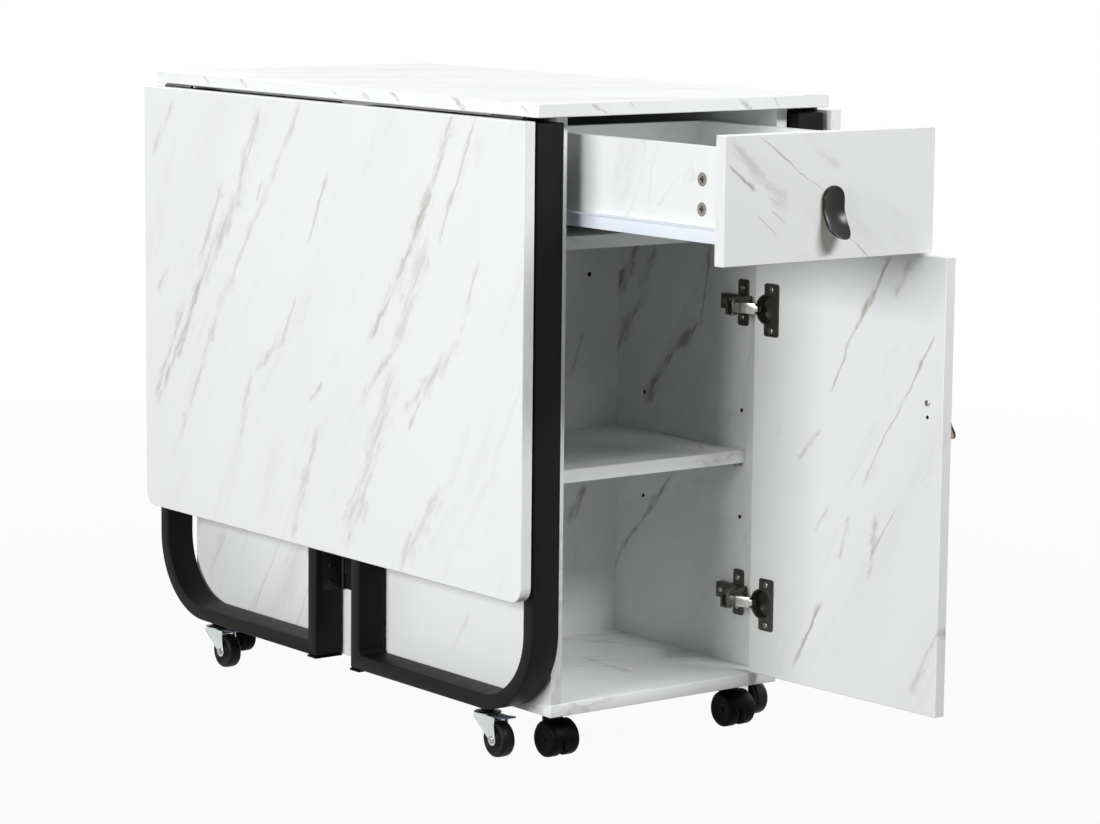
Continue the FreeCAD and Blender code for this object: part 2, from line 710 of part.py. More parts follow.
def twin_casters():
    plates = []
    for side_name, side in SIDES.items():
        for end_name, end in ENDS.items():
            name = f"{end_name}_{side_name}"
            x = f"{side} * twin_across"
            y = "front + twin_inset_front" if end < 0 else "rear - twin_inset_rear"
            axle_y = f"{y} - twin_trail"
            axle_z = "twin_wheel_radius"
            plate = box(f"twin_plate_{name}", about(x, "twin_plate_side"), about(y, "twin_plate_side"),
                        ("plate_low", "bottom_height"))
            pin = rod(f"twin_pin_{name}", "z", "twin_pin_radius", ("twin_pin_low", "bottom_height"), x=x, y=y)
            plates.append(fuse(f"twin_mount_{name}", plate, pin))

            hood_span = about(x, "twin_width")
            ring = rod(f"hood_ring_{name}", "x", "twin_hood_radius", hood_span, y=axle_y, z=axle_z)
            room = rod(f"hood_room_{name}", "x", "twin_hood_radius - twin_hood_sheet", hood_span,
                       y=axle_y, z=axle_z)
            below = box(f"hood_below_{name}", about(x, "twin_width + 2 * overrun"),
                        about(axle_y, "2 * (twin_hood_radius + overrun)"),
                        (f"{axle_z} - twin_hood_radius - overrun", f"{axle_z} + twin_hood_lift"))
            fender = cut(f"fender_{name}", ring, room, below)
            disc = rod(f"web_disc_{name}", "x", "twin_hood_radius - twin_hood_sheet / 2",
                       about(x, "twin_web"), y=axle_y, z=axle_z)
            foot = box(f"web_foot_{name}", about(x, "twin_web + 2 * overrun"),
                       about(axle_y, "2 * (twin_hood_radius + overrun)"),
                       (f"{axle_z} - twin_hood_radius - overrun", "twin_web_low"))
            web = cut(f"web_{name}", disc, foot)
            neck = rod(f"neck_{name}", "z", "twin_neck_radius",
                       (f"{axle_z} + twin_hood_radius / 2", "neck_top"), x=x, y=y)
            wheel_rooms = [rod(f"wheel_room_{name}", "x", "twin_hood_radius - twin_hood_sheet",
                               (f"{x} + ({turn}) * twin_web / 2", f"{x} + ({turn}) * twin_width / 2"),
                               y=axle_y, z=axle_z)
                           for turn in (-1, 1)]
            bore = rod(f"twin_bore_{name}", "z", "twin_pin_radius + pin_clearance",
                       ("twin_bore_low", "neck_top + overrun"), x=x, y=y)
            body = cut(f"hood_body_{name}", fuse(f"hood_whole_{name}", fender, web, neck), bore, *wheel_rooms)
            axle = rod(f"twin_axle_{name}", "x", "axle_radius", about(x, "twin_width"), y=axle_y, z=axle_z)
            node(f"twin_hood_{name}", fuse(f"hood_{name}", body, axle))

            wheels = []
            for turn in (-1, 1):
                inner = "twin_width / 2 - twin_wheel_width"
                outline = [(f"({turn}) * ({along})", radius) for along, radius in (
                    (inner, "axle_radius + pin_clearance"), ("twin_width / 2", "axle_radius + pin_clearance"),
                    ("twin_width / 2", "twin_wheel_radius - 2 * wheel_tread_round"),
                    ("twin_width / 2 - wheel_tread_round", "twin_wheel_radius"),
                    (inner, "twin_wheel_radius"))]
                wheels.append(turned(f"twin_wheel_{name}", outline, x=x, y=axle_y, z=axle_z))
            node(f"twin_wheels_{name}", group(f"twin_pair_{name}", *wheels))
    node("twin_caster_plates", group("twin_mounts", *plates))


def handle(name, x, face, top):
    """A scoop handle that lies flat on a front at the top and curls out to a lip below."""
    low = f"{top} - handle_height"
    bend = f"{top} - handle_bend_drop"
    outline = [(face, top), (face, bend), (f"{face} - handle_lip", low),
               (f"{face} - handle_lip - handle_thick", low), (f"{face} - handle_thick", bend),
               (f"{face} - handle_thick", top)]
    curl = pad(f"{name}_curl", "YZ_Plane", [outline], f"{x} - handle_width / 2", "handle_width",
               [(outline[1], "handle_back_bend"), (outline[4], "handle_front_bend"),
                (outline[5], "handle_edge"), (outline[3], "handle_edge")])
    deep = (f"{face} - handle_lip - handle_thick - overrun", f"{face} + overrun")
    end = "handle_width / 2"
    plate = fuse(f"{name}_plate",
                 box(f"{name}_mid", about(x, "handle_width"), deep, (f"{low} + {end}", f"{top} - {end}")),
                 rod(f"{name}_head", "y", end, deep, x=x, z=f"{top} - {end}"),
                 rod(f"{name}_tail", "y", end, deep, x=x, z=f"{low} + {end}"))
    part = doc.addObject("Part::Common", name)
    part.Base = curl
    part.Tool = plate
    return part


def runner(name, side):
    """The cabinet half and the drawer half of one roller runner."""
    wall = box(f"runner_wall_{name}", (f"{side} * side_in", f"{side} * (side_in - runner_sheet)"),
               ("runner_start", "runner_end"),
               ("track_low", "runner_flange_top + runner_wall_rise"))
    track = box(f"runner_track_{name}", (f"{side} * side_in", f"{side} * (side_in - runner_track)"),
                ("runner_start", "runner_end"),
                ("track_low", "track_top"))
    fixed_wheel = rod(f"fixed_roller_{name}", "x", "roller_radius",
                      (f"{side} * wheel_out", f"{side} * wheel_in"), y="fixed_roller_y", z="fixed_roller_z")
    fixed_axle = rod(f"fixed_axle_{name}", "x", "roller_axle_radius",
                     (f"{side} * side_in", f"{side} * wheel_out"), y="fixed_roller_y", z="fixed_roller_z")
    cabinet_half = fuse(f"cabinet_runner_{name}", wall, track, fixed_axle, fixed_wheel)

    skin = f"{side} * (drawer_out + runner_sheet)"
    length = ("drawer_back_face", "drawer_end")
    flange = box(f"runner_flange_{name}", (f"{side} * drawer_out", skin), length,
                 ("drawer_side_low - runner_sheet", "runner_flange_top"))
    sole = box(f"runner_sole_{name}", (f"{side} * drawer_in", skin), length,
               ("drawer_side_low - runner_sheet", "drawer_side_low"))
    ledge = box(f"runner_ledge_{name}", (skin, f"{side} * (side_in - runner_lip)"), length,
                ("runner_flange_top - runner_sheet", "runner_flange_top"))
    moving_wheel = rod(f"moving_roller_{name}", "x", "roller_radius",
                       (f"{side} * wheel_out", f"{side} * wheel_in"),
                       y="moving_roller_y", z="moving_roller_z")
    moving_axle = rod(f"moving_axle_{name}", "x", "roller_axle_radius", (f"{side} * wheel_in", skin),
                      y="moving_roller_y", z="moving_roller_z")
    drawer_half = fuse(f"drawer_runner_{name}", flange, sole, ledge, moving_axle, moving_wheel)
    return cabinet_half, drawer_half


def drawer():
    slab = box("drawer_slab", across("front_half"), ("drawer_face", "drawer_back_face"),
               ("drawer_low", "drawer_top"))
    node("drawer_front", chamfered("drawer_panel", slab, "edge_break"))
    length = ("drawer_back_face", "drawer_end")
    cams = []
    for name, side in SIDES.items():
        panel = box(f"drawer_{name}", (f"{side} * drawer_out", f"{side} * drawer_in"), length,
                    ("drawer_side_low", "drawer_side_top"))
        groove = box(f"groove_{name}",
                     (f"{side} * (drawer_in - overrun)", f"{side} * (drawer_in + drawer_groove)"),
                     ("drawer_back_face - overrun", "drawer_end + overrun"),
                     ("groove_low - drawer_groove_clearance", "groove_top + drawer_groove_clearance"))
        pockets = []
        for step in (0, 1):
            level = f"drawer_side_low + cam_low + {step} * cam_pitch"
            face, floor = f"{side} * drawer_out", f"{side} * (drawer_out - cam_depth)"
            pockets.append(rod(f"cam_hole_{name}", "x", "cam_radius + cam_clearance",
                               (f"{side} * (drawer_out + overrun)", floor), y="cam_line", z=level))
            disc = rod(f"cam_disc_{name}", "x", "cam_radius", (face, floor), y="cam_line", z=level)
            depth = (f"{side} * (drawer_out - cam_slot_depth)", f"{side} * (drawer_out + overrun)")
            bar, post = about("cam_line", "cam_radius"), about(level, "cam_radius")
            thin_y, thin_z = about("cam_line", "cam_slot_width"), about(level, "cam_slot_width")
            cams.append(cut(f"cam_{name}", disc, box(f"cam_bar_{name}", depth, bar, thin_z),
                            box(f"cam_post_{name}", depth, thin_y, post)))
        node(f"drawer_side_{name}", cut(f"drawer_side_cut_{name}", panel, groove, *pockets))
    node("drawer_cams", group("cams", *cams))
    node("drawer_back", box("drawer_rear", across("drawer_in"), ("drawer_end - drawer_side", "drawer_end"),
                            ("groove_top", "drawer_side_top")))
    node("drawer_bottom", box("drawer_base", across("drawer_in + drawer_groove - drawer_groove_clearance"),
                              length, ("groove_low", "groove_top")))
    pairs = [runner(name, side) for name, side in SIDES.items()]
    node("cabinet_runners", group("fixed_runners", *(pair[0] for pair in pairs)))
    node("drawer_runners", group("moving_runners", *(pair[1] for pair in pairs)))
    node("drawer_handle", handle("drawer_pull_handle", "0", "drawer_face", "drawer_top - handle_drop"))


def hinge_levels():
    return ("door_low + door_hinge_inset", "door_top - door_hinge_inset")


def door():
    """The door and what it carries, drawn closed and then swung open about its pivot."""
    swing = Placement(Vector(), Rotation(Vector(0, 0, 1), value("door_open_angle")),
                      Vector(value("pivot_x"), value("pivot_y"), 0))
    slab = box("door_slab", across("front_half"), ("front", "door_inner"), ("door_low", "door_top"))
    panel = chamfered("door_board", slab, "edge_break")
    holes, cups = [], []
    for number, level in enumerate(hinge_levels()):
        well = ("door_inner - cup_depth", "door_inner + overrun")
        holes.append(rod(f"cup_hole{number}", "y", "cup_radius + cup_clearance", well, x="cup_x", z=level))
        wall = rod(f"cup_wall{number}", "y", "cup_radius", ("door_inner - cup_depth", "door_inner"),
                   x="cup_x", z=level)
        rim = rod(f"cup_rim{number}", "y", "cup_radius + cup_flange_rim",
                  ("door_inner", "door_inner + cup_flange"), x="cup_x", z=level)
        flange = box(f"cup_flange{number}", about("cup_x - cup_flange_shift", "cup_flange_width"),
                     ("door_inner", "door_inner + cup_flange"), about(level, "cup_flange_height"))
        hollow = rod(f"cup_hollow{number}", "y", "cup_radius - cup_wall",
                     ("door_inner - cup_depth + cup_wall", "door_inner + overrun"), x="cup_x", z=level)
        cups.append(cut(f"cup{number}", fuse(f"cup_whole{number}", wall, rim, flange), hollow))
    handle_x = "door_handle_inset - front_half"
    screw_levels = [f"door_handle_top - handle_screw_top - {step} * handle_screw_pitch" for step in (0, 1)]
    for number, level in enumerate(screw_levels):
        holes.append(rod(f"screw_hole{number}", "y", "handle_screw_radius + handle_screw_clearance",
                         ("front - overrun", "door_inner + overrun"), x=handle_x, z=level))
    pieces = {
        "door_panel": cut("door_cut", panel, *holes),
        "door_hinge_cups": group("cups", *cups),
        "door_handle": handle("door_pull_handle", handle_x, "front", "door_handle_top"),
        "door_handle_screw": fuse(
            "handle_screw",
            rod("screw_shank", "y", "handle_screw_radius", ("front", "door_inner"),
                x=handle_x, z=screw_levels[0]),
            rod("screw_head", "y", "handle_screw_head_radius",
                ("door_inner", "door_inner + handle_screw_head"), x=handle_x, z=screw_levels[0])),
    }
    for name, piece in pieces.items():
        piece.Placement = swing
        node(name, piece)


def door_hinges():
    """Cranked arms on the right panel and the links that reach from them to the cups."""
    arms, links = [], []
    outline = [("side_in", "arm_y + arm_back"), ("side_in - arm_thick", "arm_y + arm_back"),
               ("side_in - arm_thick", "arm_y - arm_fore / 2"),
               ("eye_x - arm_eye_radius", "eye_y + arm_thick"),
               ("eye_x - arm_eye_radius", "eye_y"), ("eye_x + arm_eye_radius", "eye_y"),
               ("side_in", "arm_y - arm_fore")]
    shank = [("-link_half", "0"), ("-link_half", "-link_inner_length"), ("link_half", "-link_inner_length"),
             ("link_half", "0")]
    hook = [("-link_half", "-link_inner_length"), ("-link_half", "-link_outer_length"),
            ("link_toe_root", "-link_toe_low"), ("link_toe_reach", "-link_toe_high"),
            ("link_half", "-link_inner_length")]
    for number, level in enumerate(hinge_levels()):
        low = f"{level} - arm_height / 2"
        arm = pad(f"arm_body{number}", "XY_Plane", [outline], low, "arm_height")
        eye = rod(f"arm_eye{number}", "z", "arm_eye_radius", about(level, "arm_height"), x="eye_x", y="eye_y")
        wing = box(f"arm_wing{number}", ("side_in - arm_wing", "side_in"), about("arm_y", "arm_wing_width"),
                   about(level, "arm_wing_height"))
        slot = box(f"arm_slot{number}", about("eye_x", "2 * arm_eye_room"),
                   about("eye_y", "2 * arm_eye_room"), about(level, "arm_height - 2 * arm_ear"))
        pin = rod(f"arm_pin{number}", "z", "link_pin_radius", about(level, "arm_height"),
                  x="eye_x", y="eye_y")
        forked = cut(f"arm_forked{number}", fuse(f"arm_whole{number}", arm, eye, wing), slot)
        arms.append(fuse(f"arm{number}", forked, pin))
        tall = about(level, "arm_height - 2 * (arm_ear + arm_ear_gap)")
        ring = rod(f"link_eye{number}", "z", "link_eye_radius", tall, x="eye_x", y="eye_y")
        bar = pad(f"link_bar{number}", "XY_Plane", [shank], tall[0],
                  "arm_height - 2 * (arm_ear + arm_ear_gap)")
        toe = pad(f"link_toe{number}", "XY_Plane", [hook], f"{level} - link_toe_height / 2",
                  "link_toe_height", [(hook[1], "link_elbow")])
        for piece in (bar, toe):
            piece.Placement = Placement(piece.Placement.Base, Rotation(Vector(0, 0, 1), value("link_lean")))
            put(piece, x="eye_x", y="eye_y")
        bore = rod(f"link_bore{number}", "z", "link_pin_radius + pin_clearance", tall, x="eye_x", y="eye_y")
        links.append(cut(f"link{number}", fuse(f"link_whole{number}", ring, bar, toe), bore))
    node("door_hinge_arms", group("arms", *arms))
    node("door_hinge_links", group("links", *links))


def write_nodes():
    """Check every object and write each piece to a file of its own."""
    doc.recompute()
    for item in doc.Objects:
        if "Invalid" in item.State or "Error" in item.State:
            raise RuntimeError(f"{item.Name} failed: {item.State}")
    for name, part in nodes.items():
        if part.Shape.isNull() or not part.Shape.isValid() or not part.Shape.Solids:
            raise RuntimeError(f"{name} has no valid solid")
    os.makedirs("parts", exist_ok=True)
    for name, part in nodes.items():
        part.Shape.exportStep(f"parts/{name}.step")
    print(len(nodes), "nodes written")


fill_sheet()
tabletop()
side_panels()
cabinet_boards()
leaves()
gates()
twin_casters()
drawer()
door()
door_hinges()
write_nodes()
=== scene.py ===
"""Looks of the drop-leaf kitchen table: finishes, fittings, stage and camera."""
import json
import math

import bmesh
import bpy
from mathutils import Matrix, Vector


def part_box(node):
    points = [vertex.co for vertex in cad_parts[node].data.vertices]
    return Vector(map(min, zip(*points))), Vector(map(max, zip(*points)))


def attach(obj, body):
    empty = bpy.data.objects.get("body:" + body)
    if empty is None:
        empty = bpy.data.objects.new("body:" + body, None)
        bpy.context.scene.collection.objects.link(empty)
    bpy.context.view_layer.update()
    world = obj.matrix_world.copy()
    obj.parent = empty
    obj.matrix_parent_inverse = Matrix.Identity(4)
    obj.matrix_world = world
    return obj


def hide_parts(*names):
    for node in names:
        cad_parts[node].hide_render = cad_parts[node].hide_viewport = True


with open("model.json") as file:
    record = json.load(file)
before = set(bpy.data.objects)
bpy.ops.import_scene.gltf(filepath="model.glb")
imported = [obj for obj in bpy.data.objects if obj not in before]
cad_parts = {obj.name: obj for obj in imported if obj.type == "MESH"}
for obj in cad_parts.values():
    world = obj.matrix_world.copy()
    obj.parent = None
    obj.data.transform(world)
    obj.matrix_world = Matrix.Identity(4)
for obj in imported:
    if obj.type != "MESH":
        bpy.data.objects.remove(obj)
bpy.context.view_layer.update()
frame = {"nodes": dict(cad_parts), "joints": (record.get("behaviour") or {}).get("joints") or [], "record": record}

bl_info = {
    "name": "Drop-leaf kitchen table",
    "version": (1, 0, 0),
    "blender": (4, 5, 0),
    "location": "3D View > Sidebar > Table",
    "description": "Dresses the packed table with its finishes and small fittings",
    "category": "Object",
}

MM = 0.001
CORNERS = [(f"{end}_{side}", x, y) for side, x in (("left", -1), ("right", 1))
           for end, y in (("front", -1), ("rear", 1))]

X_AXIS, Y_AXIS, Z_AXIS = Vector((1, 0, 0)), Vector((0, 1, 0)), Vector((0, 0, 1))
WELD = 1e-6  # corners nearer than this are made one, in metres
TOUCH = 1e-5  # places nearer than this are the same, in metres
FACING = 0.9  # a normal that leans this far along an axis faces that way
BROAD_VEIN = 5.8  # half width from which a placed vein is feathered, in millimetres
STEM_SETBACK = 253 * MM  # from the inner end of a gate to the stem of its caster

# Outlines of spun pieces: place along the axis and radius, in millimetres
SWIVEL_RACE = [
    (47.8, 4.2), (47.8, 14.9), (48.1, 15.7), (48.7, 16.0), (49.2, 15.6), (49.3, 13.0), (50.2, 11.0),
    (50.8, 8.6), (50.8, 3.0), (56.5, 3.0), (56.5, 2.0), (43.2, 2.0), (43.2, 6.0), (43.6, 6.5),
    (45.2, 6.5), (45.2, 4.0), (47.8, 4.0)]
HALF_TYRE = [
    (8.5, 3.05), (8.5, 8.4), (7.9, 9.2), (6.6, 9.8), (6.6, 14.9), (7.4, 15.9), (8.1, 16.4), (8.5, 17.1),
    (8.4, 18.3), (7.8, 19.5), (6.7, 20.4), (5.0, 20.85), (2.6, 21.0)]
TWIN_DISC = [
    (5.0, 3.05), (5.0, 19.6), (5.9, 20.5), (15.4, 20.5), (17.1, 20.1), (18.2, 19.2), (18.8, 17.9),
    (19.0, 16.0), (18.4, 12.0), (18.2, 3.05)]

# Veins placed on the boards in sight: across and up of both ends and the half width, in
# millimetres, and how plainly the vein shows
STROKES = {
    "leaf_left": (
        (-272, 737, -188, 579, 12.2, 0.95), (-314, 737, -239, 583, 5.2, 0.6),
        (-192, 587, -100, 453, 11.8, 0.85), (-219, 593, -157, 455, 23.4, 0.45),
        (-165, 467, -84, 382, 9.3, 0.55), (-157, 437, -109, 326, 25.7, 0.45),
        (-117, 339, -53, 207, 21.9, 0.55), (-109, 326, -57, 256, 8.3, 0.55),
        (132, 722, 184, 602, 12.4, 0.6), (175, 615, 273, 489, 20.6, 0.65),
        (256, 516, 355, 350, 12.2, 0.9), (216, 624, 273, 511, 12.5, 0.6), (38, 732, 112, 626, 9.2, 0.5),
        (112, 626, 210, 483, 9.4, 0.45), (126, 631, 139, 603, 6, 0.7), (203, 508, 317, 291, 9.2, 0.6),
        (330, 716, 381, 643, 8.1, 0.45), (306, 467, 378, 330, 10.6, 0.65),
        (344, 504, 369, 474, 7.7, 0.6), (51, 495, 77, 447, 7.6, 0.6), (73, 450, 142, 398, 13.6, 0.6),
        (149, 403, 186, 287, 9.6, 0.5), (-4, 400, 23, 372, 7.9, 0.65), (3, 347, 64, 196, 11.8, 0.5),
        (-316, 571, -283, 480, 7.1, 0.5), (-286, 482, -174, 385, 14.2, 0.6),
        (-209, 405, -184, 364, 5, 0.7), (-246, 306, -163, 196, 17.4, 0.5),
        (-16, 650, 29, 564, 4.7, 0.6),
    ),
    "drawer_front": (
        (-107, 727, -8, 664, 1.7, 0.75), (21, 618, 57, 589, 2.4, 0.8), (-147, 698, -107, 669, 4, 0.85),
        (-145, 723, -61, 650, 12.9, 0.42), (-105, 644, -78, 619, 2.9, 0.55),
        (-84, 647, -67, 632, 2.9, 0.5), (-25, 707, 13, 690, 5.5, 0.25),
    ),
    "door_panel": (
        (-597, 582, -548, 499, 5.6, 0.95), (-551, 508, -508, 419, 3.6, 0.75),
        (-669, 499, -623, 420, 3.4, 0.7), (-626, 425, -558, 315, 2.5, 0.6),
        (-630, 582, -607, 533, 12.8, 0.4), (-490, 375, -458, 335, 6.9, 0.55),
        (-429, 371, -420, 352, 7.5, 0.35), (-509, 287, -489, 254, 5.7, 0.35),
        (-540, 278, -527, 227, 6.1, 0.7), (-585, 291, -575, 209, 7.7, 0.65),
        (-616, 295, -577, 239, 2.7, 0.45), (-499, 174, -455, 87, 4.4, 0.75),
        (-687, 177, -654, 107, 4.8, 0.55), (-678, 159, -647, 89, 11.1, 0.35),
    ),
    "side_panel_right": (
        (-127, 562, -55, 444, 13.8, 0.85), (-158, 555, -127, 496, 13.9, 0.5),
        (-142, 502, -46, 376, 14.8, 0.6), (-262, 576, -244, 466, 5.5, 0.6),
        (-249, 476, -190, 429, 11.2, 0.8), (-198, 438, -136, 361, 12.6, 0.8),
        (-197, 283, -133, 212, 7.6, 0.75), (-137, 220, -31, 82, 7.2, 0.75),
    ),
    "lower_partition": ((107, 257, 78, 210, 10.9, 0.7), (99, 448, 78, 388, 9.3, 0.5)),
    "middle_shelf": ((196, -151, 108, -310, 5.7, 0.75), (138, -74, 144, -195, 16.5, 0.4)),
    "bottom_board": ((22, -193, 16, -303, 6.6, 0.7), (77, -98, 148, -239, 15.9, 0.5)),
    "tabletop_left": (
        (289, 749, 275, 741, 5, 0.5), (204, 747, 186, 736, 8.3, 0.8), (5, 745, -5, 738, 3.1, 0.6),
        (-59, 746, -76, 738, 4.2, 0.6), (-112, 751, -136, 740, 5.5, 0.7),
        (-238, 750, -265, 736, 5.6, 0.8), (-369, 749, -384, 740, 3.5, 0.5),
    ),
    "tabletop_front": (
        (-138, 749, -115, 737, 4.6, 0.8), (-84, 750, -78, 742, 2.6, 0.7), (71, 748, 93, 736, 6, 0.9),
        (126, 748, 135, 737, 3.4, 0.7),
    ),
    "side_panel_left": ((314, 167, 348, 97, 10.4, 0.6), (-219, 153, -184, 99, 6.5, 0.4)),
}


def length(name, description, millimetres):
    """A length setting, given in millimetres."""
    return bpy.props.FloatProperty(
        name=name, description=description, default=millimetres * MM, min=0.0, precision=5, unit="LENGTH")


def colour(name, description, default):
    """A colour setting."""
    return bpy.props.FloatVectorProperty(
        name=name, description=description, default=default, size=3, min=0.0, max=1.0, subtype="COLOR")


class TableSizes(bpy.types.PropertyGroup):
    """Roundings and small fittings that the solids leave plain."""
    tube_round: length("Tube edge", "Rounding along the edges of the gate tubes", 2.4)
    tube_bend: length("Tube bend", "Outer radius of the bent corner of a gate", 100)
    tube_depth: length("Tube depth", "Narrow side of the gate tube", 18)
    tube_weld: length("Tube weld", "Fillet where the inner post meets the lower rail", 5)
    board_edge: length("Board edge", "Rounding along the edges of the carcass boards", 0.9)
    fitting_edge: length("Fitting edge", "Rounding along the edges of hinges and brackets", 0.5)
    handle_curl: length("Handle curl", "How far the lip of a handle stands off its front", 19.5)
    handle_bend: length("Handle bend", "Height of the curled part of a handle", 31)
    handle_edge: length("Handle edge", "Rounding along the rim of a handle", 2.4)
    vein_pitch: length("Vein pitch", "Spacing that the scattered veins are drawn to", 55)
    vein_run: length("Vein run", "Length that the scattered veins are drawn to", 330)
    screw_radius: length("Screw head", "Radius of the hinge screw heads", 3.3)
    screw_height: length("Screw height", "Height of the hinge screw heads", 1.3)


class TableColours(bpy.types.PropertyGroup):
    """Finishes of the table."""
    laminate: colour("Laminate", "Ground of the marble laminate", (0.80, 0.815, 0.81))
    vein: colour("Vein", "Veins of the marble laminate", (0.40, 0.39, 0.355))
    tube: colour("Tube", "Powder coat of the gates", (0.0055, 0.006, 0.0052))
    handle: colour("Handle", "Enamel of the handles", (0.006, 0.0055, 0.0055))
    brass: colour("Handle back", "Bare back of the handles", (0.42, 0.34, 0.16))
    cam: colour("Cam", "Worn plate of the drawer cams", (0.30, 0.29, 0.245))
    black_steel: colour("Gate hinge", "Blackened steel of the gate and leaf hinges", (0.018, 0.018, 0.016))
    gunmetal: colour("Door hinge", "Dark plate of the door hinges", (0.085, 0.082, 0.07))
    nickel: colour("Nickel", "Bright plate of links and screws", (0.40, 0.395, 0.375))
    zinc: colour("Zinc", "Plate of the caster forks", (0.62, 0.66, 0.66))
    enamel: colour("Runner", "Enamel of the drawer runners", (0.74, 0.78, 0.86))
    rubber: colour("Tyre", "Rubber of the gate casters", (0.005, 0.005, 0.005))
    lever: colour("Brake", "Enamel of the brake levers", (0.06, 0.075, 0.09))
    plastic: colour("Plastic", "Moulded parts of the cabinet casters", (0.002, 0.002, 0.002))
    # The core colour is bare particle board darkened far below its own tone: partly the core, partly painted shade
    # in the holes
    core: colour("Board core", "Bare particle board inside the drilled holes", (0.05, 0.042, 0.034))
    vein_strength: bpy.props.FloatProperty(
        name="Vein strength", description="How plainly the veins show", default=0.75, min=0.0, max=1.0,
        subtype="FACTOR")


def sizes():
    return bpy.context.scene.table_sizes


def colours():
    return bpy.context.scene.table_colours


# Modelling

def deselect():
    """Leave edit mode and deselect everything."""
    if bpy.context.object and bpy.context.object.mode != "OBJECT":
        bpy.ops.object.mode_set(mode="OBJECT")
    bpy.ops.object.select_all(action="DESELECT")


def named(name):
    """The active object, with its data, under a new name."""
    piece = bpy.context.object
    piece.name = piece.data.name = name
    return piece


def settle(name):
    """Name the new object and put its place into its mesh."""
    bpy.ops.object.transform_apply(location=True, rotation=True, scale=True)
    return named(name)


def block(name, low, high):
    """A box between two corners."""
    deselect()
    low, high = Vector(low), Vector(high)
    bpy.ops.mesh.primitive_cube_add(size=1, location=(low + high) / 2, scale=high - low)
    return settle(name)


def drum(name, radius, depth, centre, axis="Z", *, sides):
    """A cylinder along one axis."""
    deselect()
    turn = {"X": (0, math.pi / 2, 0), "Y": (math.pi / 2, 0, 0), "Z": (0, 0, 0)}[axis]
    bpy.ops.mesh.primitive_cylinder_add(
        vertices=sides, radius=radius, depth=depth, location=centre, rotation=turn)
    return settle(name)


def open_mesh():
    """Edit the active piece, with all of it selected."""
    bpy.ops.object.mode_set(mode="EDIT")
    bpy.ops.mesh.select_all(action="SELECT")


def close_mesh():
    """Leave edit mode."""
    bpy.ops.object.mode_set(mode="OBJECT")


def weld():
    """In edit mode, select all and make one of the corners that meet."""
    bpy.ops.mesh.select_all(action="SELECT")
    bpy.ops.mesh.remove_doubles(threshold=WELD)


def turned(name, outline, axis, centre, steps=40):
    """A shape spun about an axis from a closed outline of (along, radius) points in millimetres."""
    deselect()
    along = X_AXIS if axis == "X" else Z_AXIS
    points = [Vector(centre) + along * place * MM + Y_AXIS * radius * MM for place, radius in outline]
    bpy.ops.mesh.primitive_plane_add(size=MM, location=points[0])
    piece = settle(name)
    open_mesh()
    bpy.ops.mesh.select_mode(type="VERT")
    bpy.ops.mesh.merge(type="CENTER")
    for start, end in zip(points, points[1:] + points[:1]):
        bpy.ops.mesh.extrude_region_move(TRANSFORM_OT_translate={"value": end - start})
    weld()
    bpy.ops.mesh.spin(steps=steps, angle=math.tau, center=centre, axis=along)
    weld()
    bpy.ops.mesh.normals_make_consistent(inside=False)
    close_mesh()
    smooth(piece, 35)
    return piece


def pick(piece, kind, test):
    """In edit mode, select only the vertices, edges or faces that pass a test."""
    bpy.ops.mesh.select_mode(type=kind)
    bpy.ops.mesh.select_all(action="DESELECT")
    mesh = bmesh.from_edit_mesh(piece.data)
    for item in {"VERT": mesh.verts, "EDGE": mesh.edges, "FACE": mesh.faces}[kind]:
        if test(item):
            item.select_set(True)
    bmesh.update_edit_mesh(piece.data)


def close_to(first, second):
    return abs(first - second) < TOUCH


def level(edge):
    """Whether both ends of an edge are at one height."""
    return close_to(edge.verts[0].co.z, edge.verts[1].co.z)


def lies_at(**places):
    """A test for edges that lie at the given places on the named axes."""
    return lambda edge: all(close_to(getattr(vertex.co, axis), place)
                            for vertex in edge.verts for axis, place in places.items())


def round_edges(piece, test, radius, segments):
    """In edit mode, round the edges that pass a test."""
    pick(piece, "EDGE", test)
    bpy.ops.mesh.bevel(offset=radius, segments=segments, affect="EDGES")


def make_active(piece):
    deselect()
    piece.select_set(True)
    bpy.context.view_layer.objects.active = piece


def smooth(piece, degrees=30):
    make_active(piece)
    bpy.ops.object.shade_smooth_by_angle(angle=math.radians(degrees))


def soften(piece, width, segments=3, degrees=40):
    """Round the sharp edges of a piece."""
    make_active(piece)
    bevel = piece.modifiers.new("soft edge", "BEVEL")
    bevel.width = width
    bevel.segments = segments
    bevel.limit_method = "ANGLE"
    bevel.angle_limit = math.radians(degrees)
    bevel.use_clamp_overlap = True
    bpy.ops.object.modifier_apply(modifier=bevel.name)
    smooth(piece)
    return piece


def copy_piece(piece, name):
    """A copy with a mesh of its own."""
    make_active(piece)
    bpy.ops.object.duplicate(linked=False)
    return named(name)


def join(pieces, name):
    """One object of several."""
    make_active(pieces[0])
    for piece in pieces:
        piece.select_set(True)
    bpy.ops.object.join()
    return named(name)


def drop(piece):
    """Remove a pattern piece that was only copied."""
    make_active(piece)
    bpy.ops.object.delete()


def softened_node(node, width, segments=2, corner=None, radius=0.0):
    """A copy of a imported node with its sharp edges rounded, which stands for the node.

    Edges that pass the corner test are first rounded to the radius."""
    piece = bpy.data.objects.new(f"{node}_finished", frame["nodes"][node].data.copy())
    bpy.context.scene.collection.objects.link(piece)
    make_active(piece)
    open_mesh()
    weld()
    bpy.ops.mesh.dissolve_limited(angle_limit=math.radians(1))
    if corner:
        round_edges(piece, corner, radius, 5)
    close_mesh()
    soften(piece, width, segments)
    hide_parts(node)
    return piece


